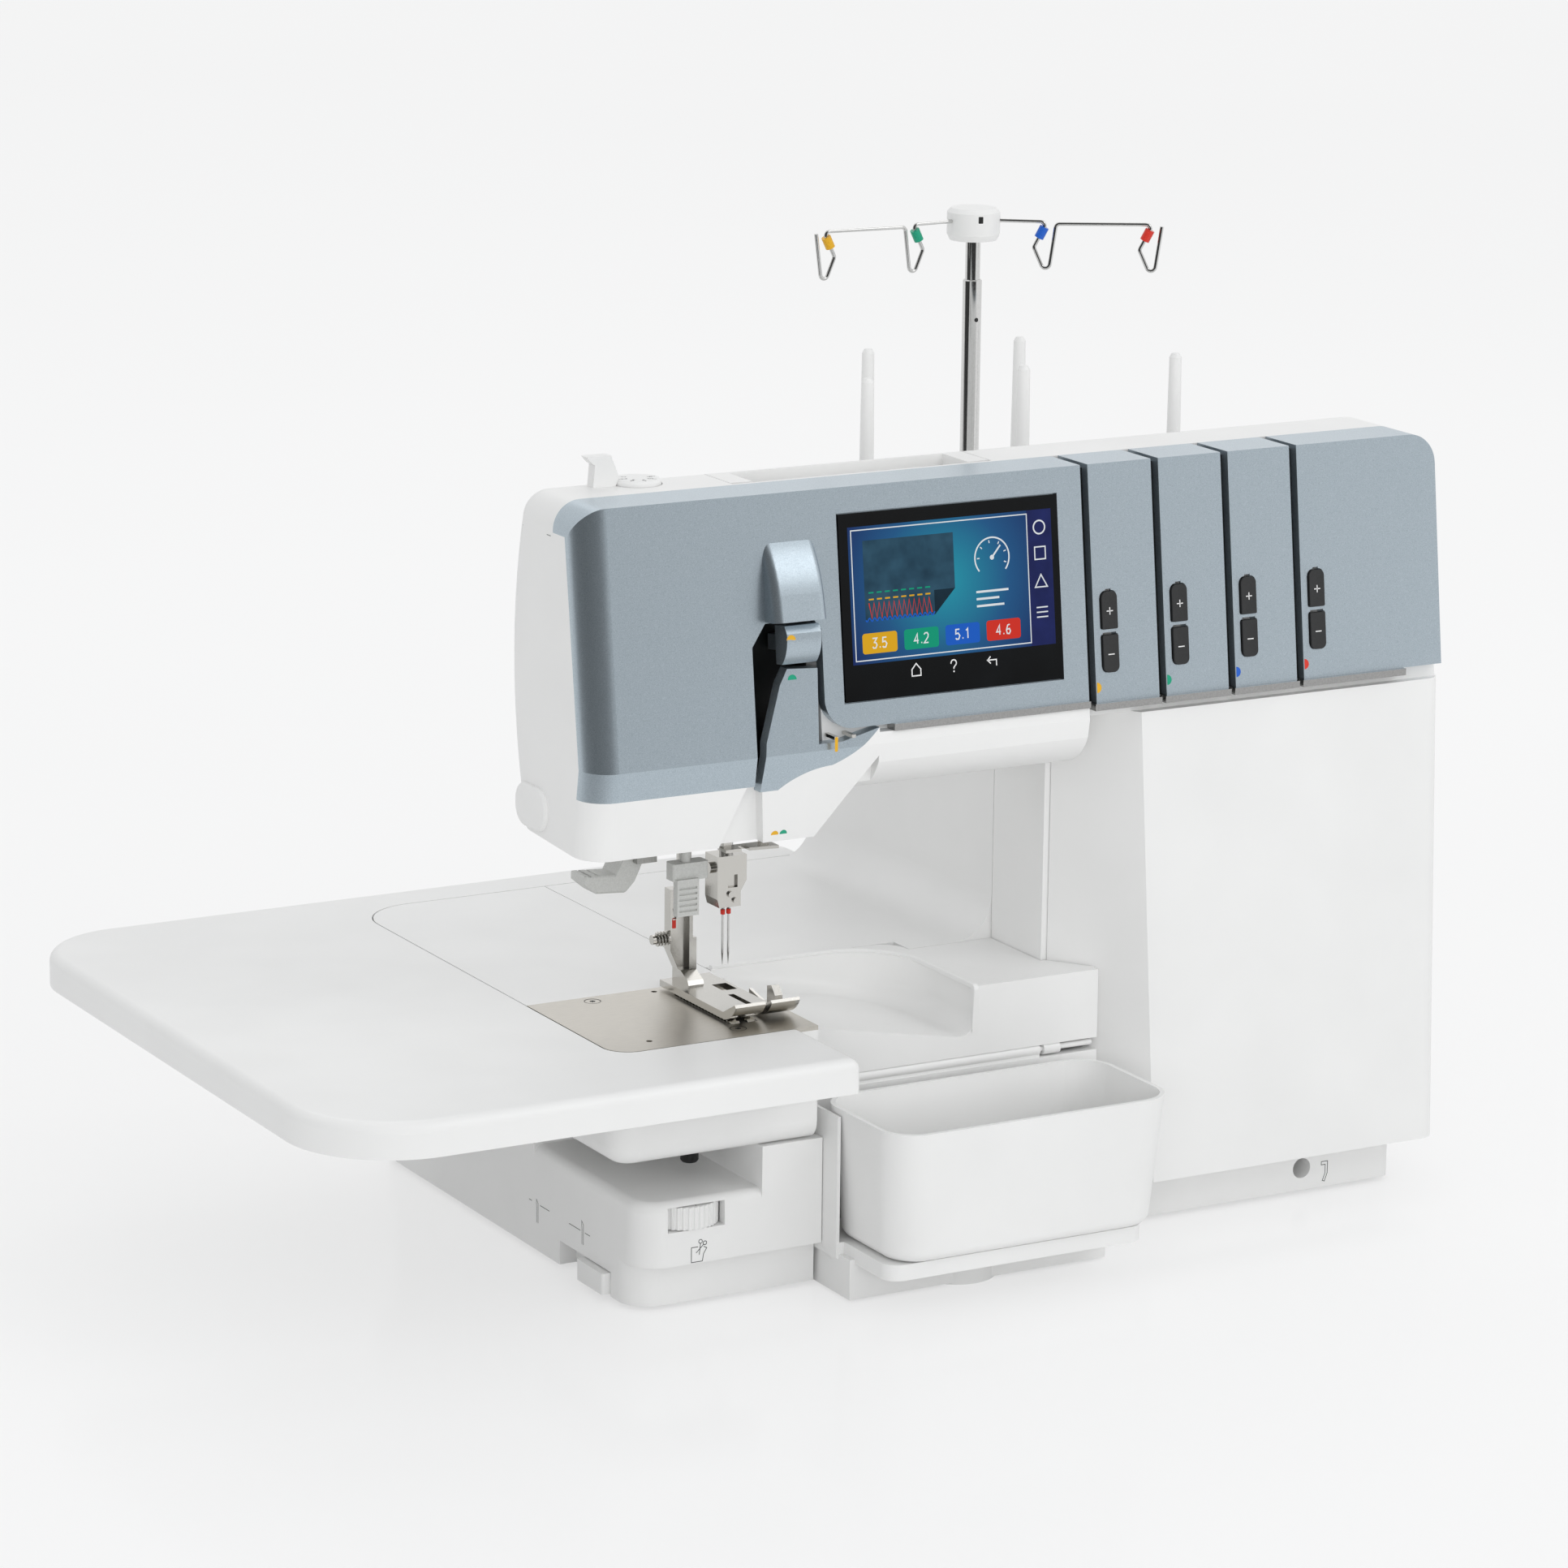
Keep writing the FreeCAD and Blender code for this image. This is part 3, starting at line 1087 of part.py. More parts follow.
def make_lanes(face):
    """Four blue lane doors with their buttons, the dark slots between them and the bright sills."""
    signs = ("minus", "plus")
    doors = []
    for index in range(4):
        left, right = lane_edges(index)
        outline = rect(left, s.door_foot, right, s.top_height + 10)
        door = shared(f"door_form_{index}", face, face_zone(f"door_zone_{index}", outline))
        wells = []
        for row in range(2):
            wells.append(on_front(f"well_{index}_{row}", button_outline(index, row, s.move_gap), -12, 12))
        doors.append(cut(f"lane_door_{index + 1}", door, *wells))
        for row, sign in enumerate(signs):
            name = f"button_{sign}_{index + 1}"
            outline = button_outline(index, row, as_dim(0))
            button = prism(name, "XY", outline, s.button_proud - s.button_thick, s.button_proud)
            soften_uprights(button, s.button_round, *outline)
            soften(button, s.button_proud / 3, edges_at_height(s.button_proud))
            button.Placement = front_frame()
            node(button, name)
    node(grouped("lane_doors", *doors), "lane_doors")
    strips = []
    for index in range(4):
        left = lane_edges(index)[0]
        strips.append(face_zone(f"slot_strip_{index}",
                                rect(left - s.lane_slot, s.door_foot, left, s.top_height + 10)))
    deep = prism("liner_zone", "YZ", [
        (s.brow_front + s.skin - s.liner_wall, s.brow_height),
        (s.brow_front + s.skin + 1, s.brow_height),
        (s.top_front + s.skin + 1, s.top_height - s.top_skin - 1),
        (s.band_back, s.top_height - s.top_skin - 1), (s.band_back, s.top_height - s.top_skin + s.liner_wall),
        (s.top_front + s.skin - s.liner_wall, s.top_height - s.top_skin + s.liner_wall)],
        s.lane_start - s.lane_slot - 5, s.side_right)
    liners = shared("liner_form", shared("liner_strips", face, deep), grouped("strip_group", *strips))
    return liners


def make_sills():
    """Bright sills below the lane doors and below the display panel."""
    pieces = []
    front = s.brow_front - s.sill_proud
    for index in range(4):
        left, right = lane_edges(index)
        if index == 3:
            right = s.side_right - 22
        pieces.append(box(f"sill_{index + 1}", (left - s.lane_slot / 2, front, s.door_foot - s.sill_height),
                          (right, s.brow_front + s.skin, s.door_foot)))
    pieces.append(box("sill_display", (s.throat_left + 37, front + 1, s.screen_foot - s.sill_height),
                      (s.lane_start - s.lane_slot, s.brow_front + s.skin, s.screen_foot)))
    node(grouped("bright_sills", *pieces), "bright_sills")


def make_thread_slot(liners):
    """Dark lining of the needle thread slot, the hood over it and the cover with the upper thread lever."""
    wall = s.liner_wall
    depth = s.slot_floor - s.skin * 1.6
    shell = box("slot_shell", (s.slot_left - 1, depth, s.panel_bottom),
                (s.slot_right + 1, s.slot_floor, s.slot_top))
    inner = box("slot_inner", (s.slot_left - 1 + wall, depth - 1, s.panel_bottom + wall),
                (s.slot_right + 1 - wall, s.slot_floor - wall, s.slot_top - wall))
    node(grouped("slot_liners", cut("slot_lining", shell, inner), liners), "slot_liners")
    width = s.slot_right - s.slot_left
    middle = s.slot_left + width * 0.6
    hood = doc.addObject("PartDesign::Body", "thread_hood")
    low = up_panel(s.slot_top) + s.seam_gap
    side = [(low, as_dim(0)), (low + 35, as_dim(0), 60, 1), (low + 12, as_dim(8.5)), (low, as_dim(10))]
    pad(hood, "YZ", side, middle - 14, middle + 13)
    hood.Placement = front_frame()
    doc.recompute()
    soften(hood, 4, edges_on_side(hood))
    cover = doc.addObject("PartDesign::Body", "lever_form")
    base = up_panel(s.slot_top) - 19
    side = [(base, as_dim(-4)), (base, as_dim(1), 16, -1), (base + 14, as_dim(7)), (base + 17.5, as_dim(5)),
            (base + 17.5, as_dim(-4))]
    pad(cover, "YZ", side, s.slot_left + 14, s.slot_right - 4)
    stem = rect(s.slot_left + 20, base + 5, s.slot_left + 26, base + 12)
    pad(cover, "XY", stem, as_dim(-22), as_dim(-4))
    cover.Placement = front_frame()
    doc.recompute()
    block = box("lever_back", (s.slot_left - 5, s.slot_floor - s.liner_wall, s.head_bottom),
                (s.slot_right + 5, s.slot_floor + 40, s.top_height))
    node(grouped("thread_levers", hood, cut("upper_lever", cover, block)), "thread_levers")


def edges_on_side(body):
    """Picks the curved front edges of the hood on both of its sides."""
    box_of_body = body.Tip.Shape.BoundBox

    def keep(edge):
        if edge.Curve.TypeId != "Part::GeomCircle":
            return False
        at_left = abs(edge.BoundBox.XMax - box_of_body.XMin) < NEAR
        return at_left or abs(edge.BoundBox.XMin - box_of_body.XMax) < NEAR

    return keep



# Sewing parts in the head


def make_head_frame():
    """Two plates in the head that guide the needle bar, the presser bar and the threader's post."""
    plates = []
    for index, low in enumerate((s.head_bottom + 8, s.needle_bar_top - 44), start=1):
        plate = box(f"guide_plate_{index}", (s.threader_x - 12, s.slot_floor + s.seam_gap, low),
                    (s.needle_x + s.clamp_width + 4, s.bar_y + 9, low + 7))
        holes = [rod(f"needle_bore_{index}", s.needle_bar_radius + s.fit_gap, s.needle_x, s.needle_y, low - 1, 9),
                 rod(f"presser_bore_{index}", s.bar_radius + s.fit_gap, s.bar_x, s.bar_y, low - 1, 9),
                 rod(f"threader_bore_{index}", s.post_radius + s.fit_gap, s.threader_x, s.threader_y, low - 1, 9)]
        plates.append(cut(f"guide_{index}", plate, *holes))
    return plates


def make_needle_bar():
    """Needle bar, clamp with its two set screws, and two needles."""
    bar = rod("needle_bar", s.needle_bar_radius, s.needle_x, s.needle_y, s.clamp_top,
              s.needle_bar_top - s.clamp_top)
    node(bar, "needle_bar")
    half = s.clamp_width / 2
    clamp = prism("clamp_block", "XZ", [
        (s.needle_x - half + 1, s.clamp_bottom), (s.needle_x + half - 3, s.clamp_bottom),
        (s.needle_x + half - 3, s.clamp_bottom + 7), (s.needle_x + half, s.clamp_bottom + 12),
        (s.needle_x + half, s.clamp_top), (s.needle_x - half, s.clamp_top),
        (s.needle_x - half, s.clamp_bottom + 4)],
        s.needle_y - s.clamp_depth / 2, s.needle_y + s.clamp_depth / 2)
    front = s.needle_y - s.clamp_depth / 2
    window = rect(s.needle_x - 2.2, s.clamp_bottom + 9, s.needle_x + 2.8, s.clamp_bottom + 15)
    pocket(clamp, "XZ", window, front, front + 1.6)
    screws = [rod("clamp_screw_1", 1.5, s.needle_x - 0.8, front, s.clamp_bottom + 6, 1.2, "Y"),
              rod("clamp_screw_2", 1.3, s.needle_x + 1.6, front, s.clamp_bottom + 3, 1.2, "Y"),
              rod("clamp_screw_3", 2.6, s.needle_x - half - 1.8, s.needle_y, s.clamp_top - 6, 1.8, "X")]
    for screw in screws[:2]:
        screw.setExpression("Placement.Base.y", (front - 1.2).text)
    node(joined("clamp_with_screws", clamp, *screws), "needle_clamp")
    needles = []
    for index, side in enumerate((-1, 1), start=1):
        blade = s.needle_radius
        profile = [(as_dim(0), s.needle_tip), (blade, s.needle_tip + 6), (blade, s.clamp_bottom - 3),
                   (blade * 1.8, s.clamp_bottom - 1.5), (blade * 1.8, s.clamp_bottom),
                   (as_dim(0), s.clamp_bottom)]
        x = s.needle_x + s.needle_pitch * side / 2
        needles.append(turned(f"needle_{index}", profile, x, s.needle_y))
    node(grouped("needles", *needles), "needles")


def make_thread_guides(form):
    """Bent steel guide below the head and two guide bars beside the thread slot."""
    left = s.slot_left - 6
    right = s.throat_left - 13
    low = s.head_bottom - 6
    back = s.threader_y - 10
    plate = prism("guide_sheet", "XY", [
        (left, back - 10), (left + 8, back - 10), (left + 8, back - 6), (left + 12, back - 6),
        (left + 12, back - 10), (right, back - 12), (right, back - 2), (left, back - 2)], low, low + 1.4)
    posts = [box(f"guide_post_{index}", (x, back - 6, low + 1), (x + 4, back - 3, s.head_bottom + 6))
             for index, x in enumerate((left + 1, right - 6), start=1)]
    bars = [box(f"guide_bar_{index}", (s.slot_right + 2 + 9 * index, s.brow_front - 3, s.brow_height + 5),
                (s.slot_right + 4 + 9 * index, s.brow_front + s.skin, s.brow_height + 6.5))
            for index in range(2)]
    hung = cut("guide_hung", joined("guide_bent", plate, *posts), form)
    node(grouped("thread_guides", hung, *bars), "thread_guides")


def make_presser():
    """Presser bar, ankle with its screw and torsion spring, and the foot with turned-up toes."""
    bar = rod("presser_bar_form", s.bar_radius, s.bar_x, s.bar_y, s.ankle_top - 8, s.bar_top - s.ankle_top + 8)
    half = s.ankle_width / 2
    left = s.bar_x - half
    right = s.bar_x + half
    front = s.bar_y - s.ankle_depth / 2
    back = s.bar_y + s.ankle_depth / 2
    sole = s.bed_top + s.dog_rise + s.sole_gap
    ankle = prism("ankle_block", "XZ", [
        (left + 4, s.ankle_bottom), (right - 3, s.ankle_bottom), (right - 3, s.ankle_bottom + 15),
        (right - 5, s.ankle_bottom + 15), (right - 5, s.ankle_top), (left, s.ankle_top),
        (left, s.ankle_bottom + 9)], front, back)
    step = rect(left - 1, s.ankle_bottom - 1, left + s.ankle_width * 0.55, s.ankle_top + 1)
    pocket(ankle, "XZ", step, front, front + s.ankle_depth / 3)
    window = rect(left + 1, s.ankle_top - 14, left + 3, s.ankle_top - 9)
    pocket(ankle, "XZ", window, front, front + s.ankle_depth / 3 + 1)
    inner = front + s.ankle_depth / 3
    screw = rod("ankle_screw", 2.8, left + 5.4, inner - 1.6, s.ankle_top - 9.5, 1.6, "Y")
    pin = rod("spring_pin", s.spring_radius - s.spring_wire - 0.3, left - s.spring_length - 1,
              inner + 1.5, s.spring_height, s.spring_length + 1, "X")
    node(joined("bar_and_ankle", bar, ankle, screw, pin), "presser_ankle")
    node(make_spring(left, inner + 1.5), "ankle_spring")
    make_foot(sole, left, right)


def make_spring(wall, y):
    """Torsion spring: one tube along a helix round its pin."""
    turns = 4
    radius = s.spring_radius.value
    wire = s.spring_wire.value
    pitch = s.spring_length.value / (turns + 1)
    helix = Part.makeHelix(pitch, pitch * turns, radius)
    ring = Part.Wire(Part.makeCircle(wire, Vector(radius, 0, 0), Vector(0, 1, 0)))
    tube = Part.Wire(helix).makePipeShell([ring], True, True)
    spring = doc.addObject("Part::Feature", "ankle_spring")
    spring.Shape = tube
    start = Vector(wall.value - wire - 0.02, y.value, s.spring_height.value)
    spring.Placement = Placement(start, Rotation(Vector(0, 1, 0), -90))
    print("spring self-gap", round(pitch - 2 * wire, 2))
    return spring


def make_foot(sole, left, right):
    """Foot: sole with two toes that curve up, stitch slot, heel block that the ankle holds."""
    toe = 9
    profile = [(s.sole_back, sole), (s.sole_back, sole + s.sole_thick), (s.sole_front + 12, sole + s.sole_thick),
               (s.sole_front + 1, sole + toe), (s.sole_front, sole + toe - 1.2, 15, 1), (s.sole_front + 11, sole)]
    plate = prism("sole_plate", "YZ", profile, s.sole_left, s.sole_right)
    slit = s.needle_x - 5
    open_front = rect(slit, s.sole_front - 2, slit + 3, s.needle_y - 12)
    pocket(plate, "XY", open_front, sole - 1, sole + 12)
    half = s.needle_pitch / 2 + s.needle_radius * 4
    pocket(plate, "XY", rect(s.needle_x - half, s.needle_y - 5, s.needle_x + half, s.needle_y + 6), sole - 1,
           sole + s.sole_thick + 1)
    knife_room = rect(s.knife_left - 0.6, s.knife_front + 6, s.sole_right + 1, s.sole_back + 1)
    pocket(plate, "XY", knife_room, sole - 1, sole + 12)
    top = sole + s.sole_thick
    heel = prism("foot_heel", "YZ", [
        (s.sole_back, top), (s.sole_back, s.ankle_bottom), (s.bar_y - 4, s.ankle_bottom),
        (s.bar_y - 11, top + 2), (s.bar_y - 12, top)], left + 4, right - 3)
    guard = prism("foot_guard", "YZ", [
        (s.sole_front + 12.5, top - 1), (s.sole_front + 12.5, top + 4), (s.sole_front + 16, top + 8),
        (s.sole_front + 20, top + 7), (s.sole_front + 20, top - 1)], s.sole_right - 6, s.sole_right - 2)
    node(joined("foot_whole", plate, heel, guard), "presser_foot")


def make_lifter(form, plates):
    """Presser foot lifter: bent lever with a ribbed finger plate, on a pin across the head."""
    x = s.lifter_x
    z = s.head_bottom - s.lifter_drop
    low = s.lifter_y - s.lifter_width / 2
    high = s.lifter_y + s.lifter_width / 2
    lever = prism("presser_lifter", "XZ", [
        (x + 5, z + 5), (x - 5, z + 5), (x - 13, z - 10), (x - 29, z - 9), (x - 29, z - 13),
        (x - 23, z - 18), (x - 9, z - 19), (x - 4, z - 14)], low, high)
    soften(lever, 1.5, edges_along("X", (None, low, None), (None, high, None)))
    for step in range(3):
        groove = x - 27 + 4 * step
        pocket(lever, "XZ", rect(groove, z - 9.8, groove + 1.4, z - 7), low - 1, high + 1)
    pocket(lever, "XZ", (x, z, s.lifter_pin + s.fit_gap), low - 1, high + 1)
    node(lever, "presser_lifter")
    pin = rod("lifter_pin", s.lifter_pin, x, low - 6, z, s.lifter_width + 12, "Y")
    hanger = []
    for index, start in enumerate((low - 4.5, high + 0.5), start=1):
        tab = box(f"lifter_tab_{index}", (x - 5, start, z - 5), (x + 5, start + 4, s.head_bottom + 12))
        hanger.append(tab)
    bracket = cut("lifter_bracket", joined("lifter_hanger", pin, *hanger), form)
    node(grouped("head_frame", bracket, *plates), "head_frame")


def make_threader():
    """Needle threader: post, body and ribbed finger tab."""
    x = s.threader_x
    y = s.threader_y
    low = s.clamp_top - 6
    body = prism("needle_threader", "XY", rect(x - 8, y - 4, x + 10, y + 4), low, low + 8)
    soften_uprights(body, 1.5, (x - 8, y - 4), (x - 8, y + 4), (x + 10, y - 4), (x + 10, y + 4))
    pad(body, "XY", (x, y, s.post_radius), low + 7, s.needle_bar_top - 20)
    tab = rect(x - 7, low - 16, x + 4, low + 1)
    pad(body, "XZ", tab, y - 6, y - 2)
    for step in range(5):
        groove = low - 14 + 2.6 * step
        pocket(body, "XZ", rect(x - 6, groove, x + 3, groove + 1), y - 6, y - 5.2)
    node(body, "needle_threader")


def make_knives():
    """Fixed lower knife and moving upper knife at the right of the needles."""
    left = s.knife_left + 0.4
    node(box("lower_knife", (left, s.knife_front + 8, s.arm_under + s.cover_wall * 3),
             (left + 1.5, s.knife_front + 26, s.bed_top - 0.2)), "lower_knife")
    blade = prism("upper_knife", "YZ", [
        (s.knife_front + 9, s.bed_top - 22), (s.knife_front + 25, s.bed_top - 22),
        (s.knife_front + 25, s.bed_top + 5), (s.knife_front + 9, s.bed_top + 1.5)],
        left + 1.8, left + 3.3)
    node(blade, "upper_knife")


# Controls on the top


def make_handle(form):
    """Carrying handle cut from the top of the form, with its pivot pins."""
    low = s.top_height - s.handle_thick
    left = s.handle_left
    right = s.handle_right
    arm = s.handle_bar
    front = s.handle_pin_y - s.handle_thick / 2
    ring = prism("handle_zone", "XY", [
        (left, front), (left + arm, front), (left + arm, s.handle_back - arm / 2),
        (right - arm, s.handle_back - arm / 2), (right - arm, front), (right, front),
        (right, s.head_back + 30), (left, s.head_back + 30)], low, s.top_height + 10)
    body = shared("handle_form", form, ring)
    pins = []
    radius = s.handle_pin - s.fit_gap
    for index, x in enumerate((left - 7, right - 2), start=1):
        middle = s.top_height - s.handle_thick / 2
        pins.append(rod(f"handle_pin_{index}", radius, x, s.handle_pin_y, middle, 9, "X"))
    node(joined("carry_handle", body, *pins), "carry_handle")


def make_top_controls():
    """Presser pressure dial in the top."""
    rise = s.pressure_rise + s.pressure_sink
    foot = s.top_height - s.pressure_sink
    dial = turned("pressure_dial", [
        (as_dim(0), foot), (s.pressure_radius, foot), (s.pressure_radius, foot + rise - 1),
        (s.pressure_radius - 1, foot + rise), (as_dim(0), foot + rise)], s.pressure_x, s.pressure_y)
    node(dial, "pressure_dial")
# Spool stand and mast


def make_stand():
    """Spool stand with its pins and seats, and the fixed lower tube of the mast."""
    low = s.column_top + 0.5
    top = low + s.stand_thick
    outline = rect(s.stand_left, s.stand_front, s.stand_right, s.stand_back)
    stand = prism("spool_stand", "XY", outline, low, top)
    soften_uprights(stand, s.stand_round, (s.stand_left, s.stand_back), (s.stand_right, s.stand_back))
    soften_uprights(stand, s.stand_round / 3, (s.stand_left, s.stand_front), (s.stand_right, s.stand_front))
    soften(stand, 2.5, edges_at_height(top))
    pocket(stand, "XY", (s.mast_x, s.mast_y, s.mast_radius + s.fit_gap / 3), low + 2, top)
    node(stand, "spool_stand")
    spots = [(s.mast_x + s.pin_pitch * step, s.pin_row_front) for step in (-1, 0, 1)]
    spots += [(s.mast_x + s.pin_pitch * step, s.pin_row_back) for step in (-0.5, 0.5)]
    pins = []
    for index, (x, y) in enumerate(spots, start=1):
        pins.append(turned(f"spool_pin_{index}", [
            (as_dim(0), top), (s.dish_radius, top), (s.dish_radius, top + 1),
            (s.dish_radius * 0.5, top + s.dish_height), (s.pin_base_radius, top + s.dish_height),
            (s.pin_tip_radius, s.pin_top - 2), (s.pin_tip_radius - 1.2, s.pin_top),
            (as_dim(0), s.pin_top)], x, y))
    node(grouped("spool_pins", *pins), "spool_pins")
    bore = s.rod_radius + s.fit_gap
    tube = turned("mast_tube", [
        (bore, low + 2), (s.mast_radius, low + 2), (s.mast_radius, s.mast_step - 0.6),
        (s.mast_radius - 0.6, s.mast_step), (bore, s.mast_step)], s.mast_x, s.mast_y)
    node(tube, "mast_tube")


def rounded_path(corners, radius):
    """A wire along straight stretches with every inner corner turned by an arc."""
    pieces = []
    start = corners[0]
    for before, corner, after in zip(corners, corners[1:], corners[2:]):
        inward = (before - corner).normalize()
        outward = (after - corner).normalize()
        half = inward.getAngle(outward) / 2
        leg = radius / math.tan(half)
        middle = (inward + outward).normalize() * (radius / math.sin(half) - radius)
        pieces.append(Part.makeLine(start, corner + inward * leg))
        pieces.append(Part.Arc(corner + inward * leg, corner + middle, corner + outward * leg).toShape())
        start = corner + outward * leg
    pieces.append(Part.makeLine(start, corners[-1]))
    return Part.Wire(pieces)


def guide_arm(name, side):
    """One guide wire of the mast head: two hooks on an arm that points to one side."""
    reach = s.wire_reach.value
    drop = s.hook_drop.value
    width = s.hook_width.value
    start = s.cap_radius.value - 4
    path = [(start, 0)]
    for far in (reach * 0.44, reach):
        path += [(far - width * 0.4, 0), (far - width, -drop * 0.45), (far - width * 0.35, -drop)]
        if far < reach:
            path.append((far, -1))
    path.append((reach, -1))
    angle = math.radians(s.wire_turn.value + side * s.wire_half_angle.value - 90)
    outward = Vector(math.cos(angle), math.sin(angle), 0)
    height = s.mast_step + s.mast_rise + s.cap_height * 0.62
    base = Vector(s.mast_x.value, s.mast_y.value, height.value)
    corners = [base + outward * far + Vector(0, 0, high) for far, high in path]
    wire = rounded_path(corners, 2.2)
    ring = Part.Wire(Part.makeCircle(s.wire_radius.value, corners[0], outward))
    arm = doc.addObject("Part::Feature", name)
    arm.Shape = wire.makePipeShell([ring], True, False)
    beads = []
    for far in (reach * 0.44, reach):
        upper = base + outward * (far - width * 0.4)
        lower = base + outward * (far - width) + Vector(0, 0, -drop * 0.45)
        beads.append((upper + (lower - upper) * 0.42, lower - upper))
    return arm, beads


def make_mast_head():
    """Sliding upper tube, head and the two guide wires with their coloured beads."""
    foot = s.mast_step + s.mast_rise
    node(rod("mast_rod", s.rod_radius, s.mast_x, s.mast_y, s.rod_foot, foot - s.rod_foot), "mast_rod")
    radius = s.cap_radius
    top = foot + s.cap_height
    cap = turned("mast_cap_form", [
        (as_dim(0), foot), (radius - 1.5, foot), (radius, foot + 3),
        (radius, top - 2), (radius - 2, top), (as_dim(0), top)], s.mast_x, s.mast_y)
    arms = []
    beads = []
    for side, name, shades in ((-1, "left", ("green", "yellow")), (1, "right", ("blue", "red"))):
        arm, spots = guide_arm(f"guide_wire_{name}", side)
        arms.append(arm)
        for shade, (centre, along) in zip(shades, spots):
            beads.append(make_bead(shade, centre, along, arm))
    node(cut("mast_cap", cap, *arms), "mast_cap")
    node(grouped("guide_wires", *arms), "guide_wires")
    node(grouped("thread_beads", *beads), "thread_beads")


def make_bead(shade, centre, along, arm):
    """Coloured sleeve on a guide wire."""
    length = 6
    along = along.normalize()
    sleeve = doc.addObject("Part::Cylinder", f"bead_{shade}_form")
    sleeve.setExpression("Radius", (s.wire_radius * 2.4).text)
    sleeve.Height = length
    sleeve.Placement = Placement(centre - along * (length / 2), Rotation(Vector(0, 0, 1), along))
    return cut(f"bead_{shade}", sleeve, arm)


# Drive


def make_drive():
    """Main shaft with its handwheel at the machine's right side."""
    end = s.casing_right + 1
    node(rod("main_shaft", s.shaft_radius, s.shaft_left, s.shaft_y, s.shaft_height, end - s.shaft_left, "X"),
         "main_shaft")
    wheel = s.wheel_radius
    rim = turned("handwheel", [
        (as_dim(0), as_dim(0)), (wheel * 0.45, as_dim(0)), (wheel * 0.5, s.wheel_width * 0.2),
        (wheel * 0.8, s.wheel_width * 0.2), (wheel * 0.85, as_dim(0)), (wheel - 1, as_dim(0)),
        (wheel, as_dim(1.5)), (wheel, s.wheel_width - 3), (wheel - 3, s.wheel_width),
        (wheel * 0.75, s.wheel_width - 1), (wheel * 0.4, s.wheel_width - 3), (as_dim(0), s.wheel_width - 3)],
        end, s.shaft_y, s.shaft_height, "X")
    node(rim, "handwheel")


def make_loopers():
    """Upper and lower looper: curved arms on pins behind the lower front panel."""
    for name, x, z, y, lean in (("upper_looper", 30, 48, -84, 6), ("lower_looper", 0, 48, -76, 0)):
        hub = rod(name + "_hub", s.looper_pin + 3, x, y, z, 4, "Y")
        arm = prism(name + "_arm", "XZ", [
            (x + 4, z), (x + 1 - lean, z + 26, 30, 1), (x - 22 - lean, z + 40), (x - 24 - lean, z + 38, 24, -1),
            (x - 5 - lean, z + 22), (x - 4, z)], as_dim(y), as_dim(y + 4))
        hole = rod(name + "_hole", s.looper_pin + s.fit_gap, x, y - 1, z, 6, "Y")
        node(cut(name, joined(name + "_form", hub, arm), hole), name)


# Loose attachments


def tub(name, floor, top, wall, foot_round):
    """Solid with sloping sides and soft corners, a wall's thickness inside the bin's outer form."""
    slope = math.tan(math.radians(s.bin_taper.value))
    inset = (s.bin_rim - floor) * slope + wall
    body = doc.addObject("PartDesign::Body", name)
    sketch = sketch_on(body, "XY", floor)
    draw(sketch, rect(s.bin_left + inset, s.bin_front + inset, s.bin_right - inset, s.bin_back - inset))
    feature = body.newObject("PartDesign::Pad", name + "_pad")
    feature.Profile = sketch
    feature.setExpression("Length", (top - floor).text)
    feature.setExpression("TaperAngle", s.bin_taper.text)
    doc.recompute()

    def corner(edge):
        return edge.BoundBox.ZLength > (top.value - floor.value) * 0.9

    soften(body, s.bin_round - wall, corner)
    soften(body, foot_round, edges_at_height(floor))
    return body


def make_bin():
    """Waste bin: tapered tub with soft corners, open at the top."""
    outer = tub("bin_outer", s.bin_bottom, s.bin_rim, as_dim(0), as_dim(5))
    inner = tub("bin_inner", s.bin_bottom + s.bin_wall, s.bin_rim + 2, s.bin_wall, as_dim(3.5))
    node(cut("waste_bin", outer, inner), "waste_bin")


def make_tray():
    """Tray that holds the bin: floor, left flank, hollow base and round foot."""
    back = s.plinth_front - 0.2
    top = s.bin_bottom - s.move_gap
    pan = rounded_rect(s.bin_left + 2, s.bin_front + 9, s.bin_right - 10, back, as_dim(8))
    floor = prism("tray_floor", "XY", pan, s.tray_floor, top)
    flank = box("tray_flank", (s.block_right + 0.4, s.bin_front + 50, s.tray_floor),
                (s.bin_left - 0.5, back, s.bin_rim - 3))
    lip = box("tray_lip", (s.block_right + 0.4, s.bin_front + 50, s.tray_floor), (s.bin_left + 6, back, top))
    base = box("tray_base", (s.bin_left - s.seam_gap, s.tray_base_front, s.foot_height / 2),
               (s.bin_right - 12, back, s.tray_floor + 2))
    room = box("tray_room", (s.bin_left + s.cover_wall, s.tray_base_front + s.cover_wall, 0),
               (s.bin_right - 12 - s.cover_wall, back - s.cover_wall, s.tray_floor - 1))
    foot = rod("tray_foot", s.tray_foot_radius, (s.bin_left + s.bin_right) * 0.35, s.bin_front + 56, 0,
               s.tray_floor + 2)
    node(joined("bin_tray", floor, flank, lip, cut("tray_shell", base, room), foot), "bin_tray")


